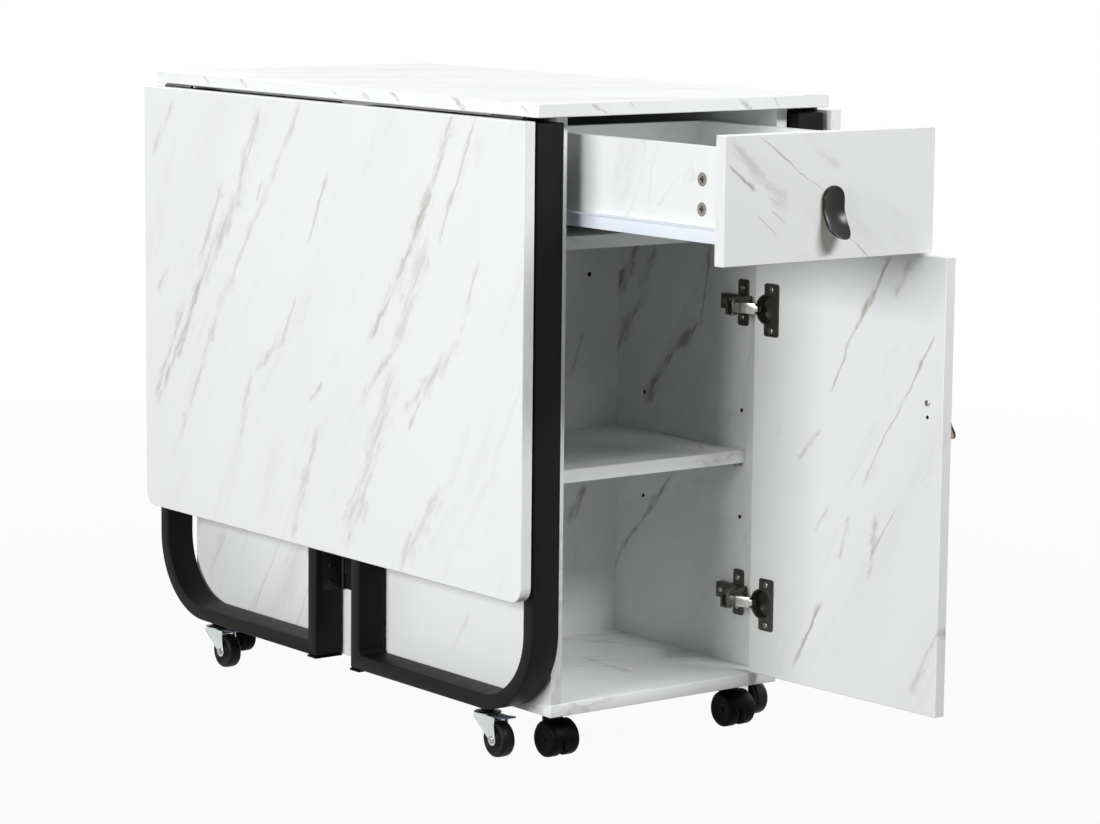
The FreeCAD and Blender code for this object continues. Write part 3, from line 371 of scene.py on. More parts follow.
def door_turn():
    """Pivot of the door, and the turn from shut to the open pose it is drawn in."""
    swing = next(joint for joint in frame["joints"] if joint["name"] == "door_swing")
    return Vector(swing["pos_m"]), Matrix.Rotation(math.radians(-swing["range_deg"][0]), 3, "Z")


def body_of_node(node):
    """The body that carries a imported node."""
    return next(name for name, nodes in frame["record"]["behaviour"]["bodies"].items() if node in nodes)


def dress(piece, material, body):
    """Give a finished piece its material and body."""
    piece.data.materials.clear()
    piece.data.materials.append(material)
    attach(piece, body)
    return piece


def paint(node, material):
    """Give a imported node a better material."""
    materials = frame["nodes"][node].data.materials
    materials.clear()
    materials.append(material)


# Materials

class Nodes:
    """Short ways to add and join the nodes of one tree."""

    def __init__(self, tree):
        self.tree = tree

    def add(self, kind, **values):
        """A node with its settings and the plain values of its inputs."""
        node = self.tree.nodes.new(kind)
        for key, value in values.items():
            if hasattr(node, key):
                setattr(node, key, value)
            else:
                node.inputs[key].default_value = value
        return node

    def link(self, source, target):
        self.tree.links.new(source, target)

    def wire(self, source, target, **sockets):
        """Join outputs of one node to inputs of another."""
        for label, other in sockets.items():
            self.link(source.outputs[label], target.inputs[other])

    def feed(self, socket, value):
        """Join an output to a socket, or set a plain value on it."""
        if isinstance(value, bpy.types.NodeSocket):
            self.link(value, socket)
        else:
            socket.default_value = value

    def maths(self, operation, *values):
        node = self.add("ShaderNodeMath", operation=operation)
        for socket, value in zip(node.inputs, values):
            self.feed(socket, value)
        return node.outputs["Value"]

    def product(self, first, *others):
        for other in others:
            first = self.maths("MULTIPLY", first, other)
        return first

    def vector(self, operation, first, second):
        node = self.add("ShaderNodeVectorMath", operation=operation)
        self.feed(node.inputs[0], first)
        self.feed(node.inputs["Scale" if operation == "SCALE" else 1], second)
        return node.outputs["Value" if operation == "DOT_PRODUCT" else "Vector"]

    def ramp(self, value, low, high, start=0.0, end=1.0):
        node = self.add("ShaderNodeMapRange", interpolation_type="SMOOTHSTEP",
                        **{"From Min": low, "From Max": high, "To Min": start, "To Max": end})
        self.link(value, node.inputs["Value"])
        return node.outputs["Result"]

    def noise(self, vector, scale, detail, roughness, distortion=0.0, output="Fac"):
        node = self.add("ShaderNodeTexNoise", Detail=detail, Roughness=roughness, Distortion=distortion)
        self.feed(node.inputs["Scale"], scale)
        self.link(vector, node.inputs["Vector"])
        return node.outputs[output]

    def swayed(self, vector, scale, amount):
        """A vector that wanders a little, in soft waves."""
        wave = self.noise(vector, scale, 3.0, 0.55, output="Color")
        centred = self.vector("SUBTRACT", wave, (0.5, 0.5, 0.5))
        return self.vector("ADD", vector, self.vector("SCALE", centred, amount))


def blank_material(name):
    """A material with only its output and a Principled shader."""
    old = bpy.data.materials.get(name)
    if old:
        bpy.data.materials.remove(old)
    material = bpy.data.materials.new(name)
    material.use_nodes = True
    tree = material.node_tree
    return material, tree, tree.nodes["Principled BSDF"]


def shared_group(name, inputs, outputs, fill):
    """A shader node group, which a function fills when it is first asked for.

    Sockets are given by name with their kind or, for plain values, with the value to start from."""
    group = bpy.data.node_groups.get(name)
    if group:
        return group
    group = bpy.data.node_groups.new(name, "ShaderNodeTree")
    for way, sockets in (("INPUT", inputs), ("OUTPUT", outputs)):
        for label, kind in sockets.items():
            known = kind if isinstance(kind, str) else "Float"
            socket = group.interface.new_socket(label, in_out=way, socket_type=f"NodeSocket{known}")
            if kind != known:
                socket.default_value = kind
    given, result = group.nodes.new("NodeGroupInput"), group.nodes.new("NodeGroupOutput")
    fill(Nodes(group), given.outputs, result.inputs)
    return group


def fill_marble(kit, given, result):
    """Feathered grey veins that run along the Z axis of the vector they are given."""
    flow = kit.swayed(given["Vector"], 1.1, 0.55)

    def shifted(shift, *noise):
        """A noise along the veins, from a place of its own."""
        return kit.noise(kit.vector("ADD", flow, shift), *noise)

    def contour(scale, detail, shift):
        """Nought along the winding middle lines of a noise."""
        return kit.maths("ABSOLUTE", kit.maths("SUBTRACT", shifted(shift, scale, detail, 0.52), 0.5))

    # Long bands, a few to a board, that hold all the veins
    middle = contour(0.32, 2.0, (3.1, 7.7, 1.3))
    band = kit.ramp(middle, 0.015, 0.075, 1.0, 0.0)
    verge = kit.ramp(middle, 0.05, 0.16, 1.0, 0.0)

    # Thin lines along the bands, broken up along their length
    line = kit.ramp(contour(0.8, 4.0, (0.0, 0.0, 0.0)), 0.003, 0.022, 1.0, 0.0)
    broken = kit.ramp(shifted((9.2, 4.4, 2.6), 1.7, 5.0, 0.6), 0.42, 0.58)
    lines = kit.product(line, verge, broken)

    # Soft feathered smears inside the bands
    smear = kit.ramp(shifted((5.5, 1.9, 8.4), 2.1, 7.0, 0.64, 0.3), 0.44, 0.70)
    patch = kit.ramp(shifted((1.7, 6.1, 4.9), 0.75, 2.0, 0.5), 0.42, 0.58)
    smears = kit.product(smear, patch, band)

    # Placed veins over the scattered ones, on a faintly clouded ground
    scattered = kit.product(kit.maths("MAXIMUM", lines, smears), given["Scatter"])
    veins = kit.maths("MAXIMUM", scattered, given["Drawn"])
    cloud = kit.ramp(kit.noise(given["Vector"], 0.6, 2.0, 0.5), 0.4, 0.75, 0.0, 0.04)
    amount = kit.maths("MINIMUM", kit.maths("ADD", veins, cloud), 1.0)
    mix = kit.add("ShaderNodeMix", data_type="RGBA")
    first, second, blend = mix.inputs[6], mix.inputs[7], mix.outputs[2]
    kit.link(amount, mix.inputs["Factor"])
    kit.link(given["Ground"], first)
    kit.link(given["Vein"], second)
    kit.link(blend, result["Color"])
    kit.link(kit.ramp(amount, 0.0, 1.0, 0.36, 0.46), result["Roughness"])


def fill_stroke(kit, given, result):
    """The mask of one placed vein, which fades at its ends and sides."""
    place = kit.vector("SUBTRACT", given["Vector"], given["Start"])
    along = kit.vector("DOT_PRODUCT", place, given["Along"])
    sideways = kit.maths("ABSOLUTE", kit.vector("DOT_PRODUCT", place, given["Across"]))
    side = kit.ramp(kit.product(sideways, given["Waver"]), 0.05, 1.0, 1.0, 0.0)
    ends = kit.product(kit.ramp(along, -0.06, 0.16), kit.ramp(along, 0.84, 1.06, 1.0, 0.0))
    kit.link(kit.product(ends, side, given["Strength"]), result["Mask"])


def placed_veins(kit, place, flow, strokes, axes, strength):
    """One mask of the veins placed on a board: thin ones solid, broad ones feathered."""
    bent = kit.swayed(kit.swayed(place, 14.0, 0.014), 70.0, 0.004)
    waver = kit.ramp(kit.noise(place, 34.0, 3.0, 0.6), 0.34, 0.66, 2.1, 0.65)
    normal = axes[0].cross(axes[1])
    thin, broad = 0.0, 0.0
    for across_0, up_0, across_1, up_1, half_width, shows in strokes:
        first = (axes[0] * across_0 + axes[1] * up_0) * MM
        run = (axes[0] * across_1 + axes[1] * up_1) * MM - first
        vein = kit.add("ShaderNodeGroup", node_tree=shared_group(*STROKE), Start=first,
                       Along=run / run.length_squared, Strength=shows * strength,
                       Across=normal.cross(run).normalized() / (half_width * MM))
        kit.link(bent, vein.inputs["Vector"])
        kit.link(waver, vein.inputs["Waver"])
        if half_width < BROAD_VEIN:
            thin = kit.maths("MAXIMUM", thin, vein.outputs["Mask"])
        else:
            broad = kit.maths("MAXIMUM", broad, vein.outputs["Mask"])
    streaks = kit.noise(flow, 6.5, 6.0, 0.62, 0.4)
    thin = kit.product(thin, kit.ramp(streaks, 0.32, 0.56, 0.4, 1.0))
    broad = kit.product(broad, kit.ramp(streaks, 0.38, 0.62, 0.2, 1.0))
    return kit.maths("MAXIMUM", thin, broad)


def marble(name, turn, offset, scatter, board, axes=None, strength=0.0):
    """Marble laminate whose fine veins run along Z after a turn in degrees, with a board's veins placed."""
    material, tree, shader = blank_material(name)
    kit = Nodes(tree)
    place = kit.add("ShaderNodeTexCoord").outputs["Object"]
    pitch, run, show = sizes().vein_pitch, sizes().vein_run, colours().vein_strength
    mapping = kit.add("ShaderNodeMapping", vector_type="TEXTURE", Location=Vector(offset) * MM,
                      Rotation=[math.radians(angle) for angle in turn], Scale=(pitch, pitch, run))
    kit.link(place, mapping.inputs["Vector"])
    flow = mapping.outputs["Vector"]
    veins = kit.add("ShaderNodeGroup", node_tree=shared_group(*MARBLE), Ground=(*colours().laminate, 1),
                    Vein=(*colours().vein, 1), Scatter=show * scatter)
    if axes:
        drawn = placed_veins(kit, place, flow, STROKES[board], axes, show * strength)
        kit.link(drawn, veins.inputs["Drawn"])
    kit.link(flow, veins.inputs["Vector"])
    kit.wire(veins, shader, Color="Base Color", Roughness="Roughness")
    shader.inputs["Specular IOR Level"].default_value = 0.35
    return material


def fill_grain(kit, given, result):
    """A fine surface grain: a shade that varies a little, a roughness and a bump height."""
    fine = kit.noise(given["Vector"], given["Scale"], 3.0, 0.6)
    swing = kit.maths("SUBTRACT", kit.noise(given["Vector"], 18.0, 3.0, 0.5), 0.5)
    shade = kit.maths("MULTIPLY_ADD", swing, given["Shade"], 1.0)
    rough = kit.maths("MULTIPLY_ADD", swing, given["Spread"], given["Roughness"])
    kit.link(kit.vector("SCALE", given["Base"], shade), result["Color"])
    kit.link(rough, result["Roughness"])
    kit.link(fine, result["Height"])


# Node groups: name, what comes in, what goes out, and the function that fills the group
MARBLE = (
    "marble_veins", {"Vector": "Vector", "Ground": "Color", "Vein": "Color", "Scatter": 0.75, "Drawn": 0.0},
    {"Color": "Color", "Roughness": "Float"}, fill_marble)
STROKE = (
    "vein_stroke", {"Vector": "Vector", "Start": "Vector", "Along": "Vector", "Across": "Vector",
                    "Waver": 1.0, "Strength": 1.0}, {"Mask": "Float"}, fill_stroke)
GRAIN = (
    "fine_grain", {"Vector": "Vector", "Base": "Color", "Scale": 900.0, "Shade": 0.1, "Roughness": 0.4,
                   "Spread": 0.1}, {"Color": "Color", "Roughness": "Float", "Height": "Float"}, fill_grain)

# Shared finishes: slot, name of the colour, roughness, metallic, then the grain: its scale, how far it
# varies the shade and the roughness, its bump, and the specular level
FINISHES = {
    "black powder coat": ("black_tube", "tube", 0.48, 0, 1400, 0.25, 0.1, 0.12, 0.1),
    "black enamel": (None, "handle", 0.26, 0, 700, 0.25, 0.08, 0.02, 0.3),
    "brass back": (None, "brass", 0.38, 1, 600, 0.25, 0.12, 0.02, 0.5),
    "dark plate": ("gunmetal", "gunmetal", 0.36, 0.8, 500, 0.25, 0.2, 0.02, 0.5),
    "worn plate": (None, "cam", 0.34, 1, 420, 1.2, 0.3, 0.02, 0.5),
    "black steel": ("dark_hinge_steel", "black_steel", 0.36, 0.5, 500, 0.25, 0.2, 0.02, 0.3),
    # The holes' bare core, darkened as painted shade inside them
    "board core": (None, "core", 0.85, 0, 700, 0.9, 0.12, 0.02, 0.1),
    "bright nickel": ("nickel", "nickel", 0.22, 1, 500, 0.25, 0.12, 0.02, 0.5),
    "zinc plate": ("zinc", "zinc", 0.24, 1, 260, 0.5, 0.25, 0.02, 0.5),
    "white enamel": ("white_enamel", "enamel", 0.3, 0, 400, 0.04, 0.12, 0.02, 0.5),
    "tyre rubber": ("black_rubber", "rubber", 0.45, 0, 1200, 0.25, 0.15, 0.08, 0.12),
    "lever enamel": ("dark_lever", "lever", 0.35, 0.3, 500, 0.25, 0.12, 0.02, 0.5),
    "black plastic": ("black_plastic", "plastic", 0.45, 0, 1100, 0.25, 0.1, 0.05, 0.04),
}


def coated(name, base, roughness, metallic, scale, shade, spread, bump, specular):
    """A coated, plated or moulded finish with a fine grain."""
    material, tree, shader = blank_material(name)
    kit = Nodes(tree)
    grain = kit.add("ShaderNodeGroup", node_tree=shared_group(*GRAIN), Base=(*base, 1), Scale=scale,
                    Shade=shade, Roughness=roughness, Spread=spread)
    lift = kit.add("ShaderNodeBump", Strength=bump, Distance=0.2 * MM)
    kit.wire(kit.add("ShaderNodeTexCoord"), grain, Object="Vector")
    kit.wire(grain, shader, Color="Base Color", Roughness="Roughness")
    kit.wire(grain, lift, Height="Height")
    kit.wire(lift, shader, Normal="Normal")
    shader.inputs["Metallic"].default_value = metallic
    shader.inputs["Specular IOR Level"].default_value = specular
    return material


def finish(name):
    """One of the table's shared finishes, made when it is first asked for."""
    _, tone, *values = FINISHES[name]
    return bpy.data.materials.get(name) or coated(name, getattr(colours(), tone), *values)


def fit_out(piece, coat, body):
    """Give a finished piece one of the shared finishes and a body."""
    return dress(piece, finish(coat), body)


def finished_node(node, coat, edge=1.0, segments=2, **corners):
    """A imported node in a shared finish, its edges rounded to a share of the usual width."""
    piece = softened_node(node, sizes().fitting_edge * edge, segments, **corners)
    return fit_out(piece, coat, body_of_node(node))


# Operators

class TABLE_OT_boards(bpy.types.Operator):
    """Marble laminate on every board, with the carcass edges rounded"""
    bl_idname = "table.boards"
    bl_label = "Boards"

    def execute(self, context):
        opened = door_turn()[1]
        side, end, flat = (Y_AXIS, Z_AXIS), (X_AXIS, Z_AXIS), (X_AXIS, Y_AXIS)
        rounded = ("side_panel_left", "side_panel_right", "bottom_board")
        # Material, its boards, turn, offset and scatter of the fine veins, axes and strength of placed ones
        for name, boards, turn, offset, scatter, *placed in (
                ("left side", ["side_panel_left"], (30, 0, 0), (0, 60, 40), 0.4, side, 0.8),
                ("right side", ["side_panel_right"], (31, 0, 0), (0, 20, 90), 0.12, side, 2.0),
                ("left leaf", ["leaf_left"], (29, 0, 0), (31, 120, 15), 0.12, side, 1.15),
                ("right leaf", ["leaf_right"], (-29, 0, 0), (77, 40, 90), 0.7),
                ("drawer front", ["drawer_front"], (0, 123, 0), (210, 30, 60), 0.12, end, 1.4),
                ("partition", ["lower_partition", "upper_partition"], (0, 32, 0), (40, 12, 130), 0.12,
                 end, 2.0),
                ("door", ["door_panel"], (30, 0, 0), (61, 33, 190), 0.12, (opened @ X_AXIS, Z_AXIS), 1.6),
                ("shelf", ["middle_shelf"], (90, 0, 62), (15, 88, 20), 0.5, flat, 1.0),
                ("bottom", ["bottom_board"], (90, 0, 62), (90, 18, 55), 0.5, flat, 1.0),
                ("level boards", ["tabletop", "drawer_bottom", "rear_shelf", "drawer_divider"],
                 (90, 0, 62), (15, 88, 20), 0.5),
                ("drawer box", ["drawer_back", "drawer_side_left", "drawer_side_right"],
                 (24, 24, 0), (140, 20, 71), 0.25)):
            material = marble(f"marble {name}", turn, offset, scatter, boards[0], *placed)
            for node in boards:
                if node in rounded:
                    piece = softened_node(node, sizes().board_edge)
                    self.show_core_and_hole_shade(dress(piece, material, "cabinet"))
                else:
                    paint(node, material)
        # Painted shade in the drilled holes of the partition and the door, by their dark core colour
        self.show_core_and_hole_shade(frame["nodes"]["lower_partition"])
        self.show_core_and_hole_shade(frame["nodes"]["door_panel"], opened)

        top = frame["nodes"]["tabletop"].data
        for name, board, axes in (("side", "tabletop_left", side), ("end", "tabletop_front", end)):
            top.materials.append(marble(f"marble top {name}", (0, 0, 0), (0, 0, 0), 0.0, board, axes, 1.1))
        for polygon in top.polygons:
            if polygon.normal.x < -FACING:
                polygon.material_index = 1
            elif polygon.normal.y < -FACING:
                polygon.material_index = 2
        return {"FINISHED"}

    def show_core_and_hole_shade(self, board, turn=Matrix.Identity(3)):
        """Paint the inside of a board's drilled holes, the board standing turned, in the bare core colour made
        darker as painted shade.
        """
        board.data.materials.append(finish("board core"))
        back = turn.inverted()
        corners = [back @ vertex.co for vertex in board.data.vertices]
        low = [min(corner[axis] for corner in corners) for axis in range(3)]
        high = [max(corner[axis] for corner in corners) for axis in range(3)]
        skin = 2 * sizes().board_edge
        for polygon in board.data.polygons:
            place = back @ polygon.center
            if all(low[axis] + skin < place[axis] < high[axis] - skin for axis in range(3)):
                polygon.material_index = 1


class TABLE_OT_gates(bpy.types.Operator):
    """The gate frames of bent rectangular tube"""
    bl_idname = "table.gates"
    bl_label = "Gate frames"

    def execute(self, context):
        shape = sizes()
        for name, _, end in CORNERS:
            node = f"gate_frame_{name}"
            low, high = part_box(node)
            tube = block(f"gate_tube_{name}", low, high)
            outer = low.y if end < 0 else high.y
            inner = high.y - shape.tube_depth if end < 0 else low.y + shape.tube_depth
            open_mesh()
            round_edges(tube, lies_at(y=outer, z=low.z), shape.tube_bend, 18)
            pick(tube, "FACE", lambda face: abs(face.normal.x) > FACING)
            bpy.ops.mesh.inset(thickness=shape.tube_depth)
            bpy.ops.mesh.delete(type="FACE")
            pick(tube, "EDGE", lambda edge: edge.is_boundary)
            bpy.ops.mesh.bridge_edge_loops()
            round_edges(tube, lies_at(y=inner, z=low.z + shape.tube_depth), shape.tube_weld, 5)
            bpy.ops.mesh.select_all(action="SELECT")
            bpy.ops.mesh.normals_make_consistent(inside=False)
            close_mesh()
            soften(tube, shape.tube_round)
            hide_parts(node)
            fit_out(tube, "black powder coat", f"gate_{name}")
        return {"FINISHED"}


def screw_pattern():
    """A pan-head screw with a cross recess, at the origin and facing +Z."""
    radius, height = sizes().screw_radius, sizes().screw_height
    head = drum("screw_pattern", radius, height, (0, 0, height / 2), sides=20)
    open_mesh()
    round_edges(head, lies_at(z=height), height * 0.6, 3)
    close_mesh()
    reach, thin = radius * 0.55, radius * 0.13
    floor, clear = height - height * 0.7, 2 * height
    bars = [block("recess_bar", (-reach, -thin, floor), (reach, thin, clear)),
            block("recess_post", (-thin, -reach, floor), (thin, reach, clear))]
    for bar in bars:
        make_active(head)
        carve = head.modifiers.new("recess", "BOOLEAN")
        carve.operation = "DIFFERENCE"
        carve.solver = "EXACT"
        carve.object = bar
        bpy.ops.object.modifier_apply(modifier=carve.name)
        drop(bar)
    smooth(head)
    return head


def set_screws(pattern, name, seats):
    """Copies of a screw on seats of (place, facing), joined in one object."""
    copies = []
    for place, facing in seats:
        screw = copy_piece(pattern, name)
        turn = Z_AXIS.rotation_difference(Vector(facing)).to_matrix().to_4x4()
        screw.data.transform(Matrix.Translation(Vector(place)) @ turn)
        copies.append(screw)
    return join(copies, name)


class TABLE_OT_gate_fittings(bpy.types.Operator):
    """End plugs, butt hinges and caster stems of the gates"""
    bl_idname = "table.gate_fittings"
    bl_label = "Gate fittings"

    def execute(self, context):
        pattern = screw_pattern()
        for name, side, end in CORNERS:
            low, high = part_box(f"gate_frame_{name}")
            inner = high.y if end < 0 else low.y
            self.plug(name, end, low, high, inner)
            self.stem(name, (low.x + high.x) / 2, inner + end * STEM_SETBACK)
            self.hinges(pattern, name, side, end, inner)
        drop(pattern)
        for node in ("tabletop_hinge_plates", "cabinet_hinge_plates", "leaf_hinge_plates_left",
                     "leaf_hinge_plates_right"):
            finished_node(node, "black steel", 0.5, 1)
        return {"FINISHED"}

    def fit(self, piece, name, coat):
        """Finish one of the pieces that stand for the fittings of a gate."""
        fit_out(piece, coat, f"gate_{name}")
        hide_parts(f"gate_fittings_{name}")

    def plug(self, name, end, low, high, inner):
        """The plastic plug in the foot of the inner post."""
        half, lip, height = 9 * MM, 0.6 * MM, 3 * MM
        post = inner + end * half
        plug = block(f"end_plug_{name}", (low.x - lip, post - half - lip, low.z - height),
                     (high.x + lip, post + half + lip, low.z))
        soften(plug, 1.0 * MM, 2)
        self.fit(plug, name, "black plastic")

    def stem(self, name, x, y):
        """The caster's ball race under the lower rail and its nut."""
        race = turned(f"swivel_race_{name}", SWIVEL_RACE, "Z", (x, y, 0))
        self.fit(race, name, "zinc plate")
        radius, height, middle = 7.5 * MM, 5.0 * MM, 53.3 * MM
        nut = drum(f"stem_nut_{name}", radius, height, (x, y, middle), sides=6)
        soften(nut, 0.7 * MM, 2)
        self.fit(nut, name, "black plastic")

    def hinges(self, pattern, name, side, end, inner):
        """Two hinge leaves on the inner post, each with a tab, a knuckle and three screws."""
        seat, plate, height, corner = 3 * MM, 1.2 * MM, 60 * MM, 4 * MM
        pin = (side * 171 * MM, inner - end * seat, 0)
        near, far, tab_end, screw_line = (pin[0] + side * reach * MM for reach in (3.2, 28, 3.3, 17))
        face = inner - end * plate
        ys = sorted((inner, face))
        at_end = lies_at(x=far)
        pieces, seats = [], []
        for foot in (137 * MM, 560 * MM):
            xs = sorted((near, far))
            leaf = block("gate_hinge_leaf", (xs[0], ys[0], foot), (xs[1], ys[1], foot + height))
            open_mesh()
            round_edges(leaf, lambda edge: at_end(edge) and level(edge), corner, 4)
            close_mesh()
            low, high = foot + 18.3 * MM, foot + 41.7 * MM
            xs = sorted((pin[0], tab_end))
            tab = block("gate_hinge_tab", (xs[0], ys[0], low), (xs[1], ys[1], high))
            low, high = low / MM, high / MM
            knuckle = turned("gate_hinge_knuckle", [
                (low, 1.35), (low, 2.4), (low + 0.2, 2.6), (high - 0.2, 2.6), (high, 2.4), (high, 1.35)],
                "Z", pin, 20)
            pieces += [leaf, tab, knuckle]
            seats += [((screw_line, face, foot + rise * MM), (0, -end, 0)) for rise in (10, 30, 50)]
        hinge = join(pieces, f"gate_hinge_leaves_{name}")
        smooth(hinge)
        self.fit(hinge, name, "black steel")
        fit_out(set_screws(pattern, f"gate_hinge_screws_{name}", seats), "black steel", f"gate_{name}")


class TABLE_OT_gate_casters(bpy.types.Operator):
    """Fork, wheel, axle bolt and brake lever of each gate caster"""
    bl_idname = "table.gate_casters"
    bl_label = "Gate casters"

    def execute(self, context):
        outline = HALF_TYRE + [(-along, radius) for along, radius in reversed(HALF_TYRE)]
        radius, height, head_out = 4.6 * MM, 2.4 * MM, 12.0 * MM
        for name, _, _ in CORNERS:
            finished_node(f"caster_fork_{name}", "zinc plate")
            low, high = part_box(f"caster_wheel_{name}")
            hub = (low + high) / 2
            wheel = turned(f"tyre_{name}", outline, "X", hub, 48)
            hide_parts(f"caster_wheel_{name}")
            fit_out(wheel, "tyre rubber", f"wheel_{name}")
            bolts = []
            for turn in (-1, 1):
                head = drum("axle_bolt", radius, height, hub + X_AXIS * turn * head_out, "X", sides=6)
                bolts.append(soften(head, 0.5 * MM, 2))
            fit_out(join(bolts, f"axle_bolt_{name}"), "bright nickel", f"fork_{name}")
            finished_node(f"caster_brake_{name}", "lever enamel")
        return {"FINISHED"}


class TABLE_OT_twin_casters(bpy.types.Operator):
    """Hood and wheels of each twin-wheel caster under the cabinet"""
    bl_idname = "table.twin_casters"
    bl_label = "Twin casters"

    def execute(self, context):
        rim_out, rim_radius, drawn_in = 17 * MM, 20 * MM, 0.82
        for name, _, _ in CORNERS:
            low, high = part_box(f"twin_wheels_{name}")
            hub = (low + high) / 2
            hood = finished_node(f"twin_hood_{name}", "black plastic")
            open_mesh()
            pick(hood, "VERT", lambda vertex: abs(vertex.co.x - hub.x) > rim_out
                 and math.hypot(vertex.co.y - hub.y, vertex.co.z - hub.z) > rim_radius)
            bpy.ops.transform.resize(value=(drawn_in, 1, 1), center_override=hub)
            close_mesh()
            wheels = []
            for turn in (-1, 1):
                outline = [(turn * along, radius) for along, radius in TWIN_DISC]
                wheels.append(turned("twin_disc", outline, "X", hub, 48))
            pair = join(wheels, f"twin_discs_{name}")
            smooth(pair, 35)
            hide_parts(f"twin_wheels_{name}")
            fit_out(pair, "black plastic", f"twin_wheels_{name}")
        paint("twin_caster_plates", finish("black plastic"))
        return {"FINISHED"}


class TABLE_OT_handles(bpy.types.Operator):
    """The two scoop handles, flat at the top and curled out at the lip"""
    bl_idname = "table.handles"
    bl_label = "Handles"

    def execute(self, context):
        low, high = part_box("drawer_handle")
        pull = self.scoop(low, high)
        self.coat(pull)
        self.finish_pull(pull, "drawer_handle", "drawer")

        door = copy_piece(pull, "door_scoop")
        pivot, opened = door_turn()
        closed_at = Vector((-128 * MM, -375.5 * MM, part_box("door_handle")[1].z))
        offset = closed_at - Vector(((low.x + high.x) / 2, high.y, high.z))
        turn = Matrix.Translation(pivot) @ opened.to_4x4() @ Matrix.Translation(offset - pivot)
        door.data.transform(turn)
        self.finish_pull(door, "door_handle", "door")
        return {"FINISHED"}

    def scoop(self, low, high):
        """A long rounded plate with a dished front, curled forwards towards its foot."""
        shape = sizes()
        thick, rim, dish, cuts, lean = 7 * MM, 3.2 * MM, 1.8 * MM, 14, 0.35
        radius = (high.x - low.x) / 2
        straight = high.z - low.z - 2 * radius
        centre = Vector(((low.x + high.x) / 2, high.y - thick / 2, high.z - radius))
        pull = drum("drawer_scoop", radius, thick, centre, "Y", sides=40)
        open_mesh()
        pick(pull, "VERT", lambda vertex: vertex.co.z < centre.z - 10 * TOUCH)
        bpy.ops.transform.translate(value=(0, 0, -straight))
        for step in range(cuts):
            cut = (0, 0, centre.z - straight * (step + 0.5) / cuts)
            bpy.ops.mesh.select_all(action="SELECT")
            bpy.ops.mesh.bisect(plane_co=cut, plane_no=Z_AXIS)
        pick(pull, "FACE", lambda face: face.normal.y < -FACING)
        bpy.ops.mesh.inset(thickness=rim)
        bpy.ops.transform.translate(value=(0, dish, 0))
        mesh = bmesh.from_edit_mesh(pull.data)
        heights = sorted({round(vertex.co.z, 6) for vertex in mesh.verts})
        for height in heights:
            fall = max(0.0, (low.z + shape.handle_bend - height) / shape.handle_bend)
            curl = shape.handle_curl * (lean * fall + (1 - lean) * fall ** 2)
            if curl > 0:
                pick(pull, "VERT", lambda vertex: abs(vertex.co.z - height) < 2 * WELD)
                bpy.ops.transform.translate(value=(0, -curl, 0))
        close_mesh()
        return soften(pull, shape.handle_edge, 4, 50)

    def coat(self, pull):
        """Black enamel all over but for the bare back."""
        pull.data.materials.clear()
        pull.data.materials.append(finish("black enamel"))
        pull.data.materials.append(finish("brass back"))
        backwards = 0.25
        for polygon in pull.data.polygons:
            polygon.material_index = int(polygon.normal.y > backwards)

    def finish_pull(self, pull, node, body):
        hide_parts(node)
        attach(pull, body)


class TABLE_OT_door_hinges(bpy.types.Operator):
    """Concealed hinges of the door with their screws"""
    bl_idname = "table.door_hinges"
    bl_label = "Door hinges"

    def execute(self, context):
        half_plate, plate_end, thickest, corner = 31 * MM, 27 * MM, 3 * MM, 3.5 * MM
        low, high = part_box("door_hinge_cups")
        levels = (low.z + half_plate, high.z - half_plate)

        def plate_corner(edge):
            rise = min(abs(edge.verts[0].co.z - middle) for middle in levels)
            return level(edge) and rise > plate_end and edge.calc_length() < thickest

        for node in ("door_hinge_arms", "door_hinge_cups"):
            finished_node(node, "dark plate", corner=plate_corner, radius=corner)
        links = finished_node("door_hinge_links", "bright nickel", corner=plate_corner, radius=corner)
        # Painted shade on the links: their ends inside the arms are painted in the arms' dark plate
        self.paint_link_shade(links)
        self.screws(levels)
        return {"FINISHED"}

    def paint_link_shade(self, links):
        """Painted shade: the end of each link inside the arm takes the arm's dark plate; only the toe end shows
        bright.
        """
        bright_share = 0.58
        places = [vertex.co.y for vertex in links.data.vertices]
        border = min(places) + (max(places) - min(places)) * bright_share
        make_active(links)
        open_mesh()
        bpy.ops.mesh.bisect(plane_co=(0, border, 0), plane_no=(0, 1, 0))
        close_mesh()
        links.data.materials.append(finish("dark plate"))
        for polygon in links.data.polygons:
            polygon.material_index = int(polygon.center.y > border)

    def screws(self, levels):
        """Two screws in each cup's flange, two in each arm's plate and one in the arm."""
        pattern = screw_pattern()
        pivot, turn = door_turn()
        apart, nearer = 24 * MM, 0.72
        cup_x, cup_y = 122.5 * MM, -359.3 * MM
        plate_x, plate_y, arm_x, arm_y = 150.8 * MM, -323.5 * MM, 143 * MM, -301 * MM
        on_door, on_panel = [], []
        for middle in levels:
            for rise in (-apart, apart):
                closed = Vector((cup_x, cup_y, middle + rise))
                on_door.append((turn @ (closed - pivot) + pivot, turn @ Y_AXIS))
                on_panel.append(((plate_x, plate_y, middle + rise * nearer), -X_AXIS))
            on_panel.append(((arm_x, arm_y, middle), -X_AXIS))
        fit_out(set_screws(pattern, "cup_screws", on_door), "bright nickel", "door")
        fit_out(set_screws(pattern, "arm_screws", on_panel), "bright nickel", "cabinet")
        drop(pattern)


class TABLE_OT_drawer_fittings(bpy.types.Operator):
    """Runners, cams, shelf pins and the handle screw"""
    bl_idname = "table.drawer_fittings"
    bl_label = "Drawer fittings"

    def execute(self, context):
        for node in ("cabinet_runners", "drawer_runners"):
            finished_node(node, "white enamel", 0.6, 1)
        paint("drawer_cams", finish("worn plate"))
        paint("shelf_pins", finish("bright nickel"))
        finished_node("door_handle_screw", "bright nickel")
        return {"FINISHED"}


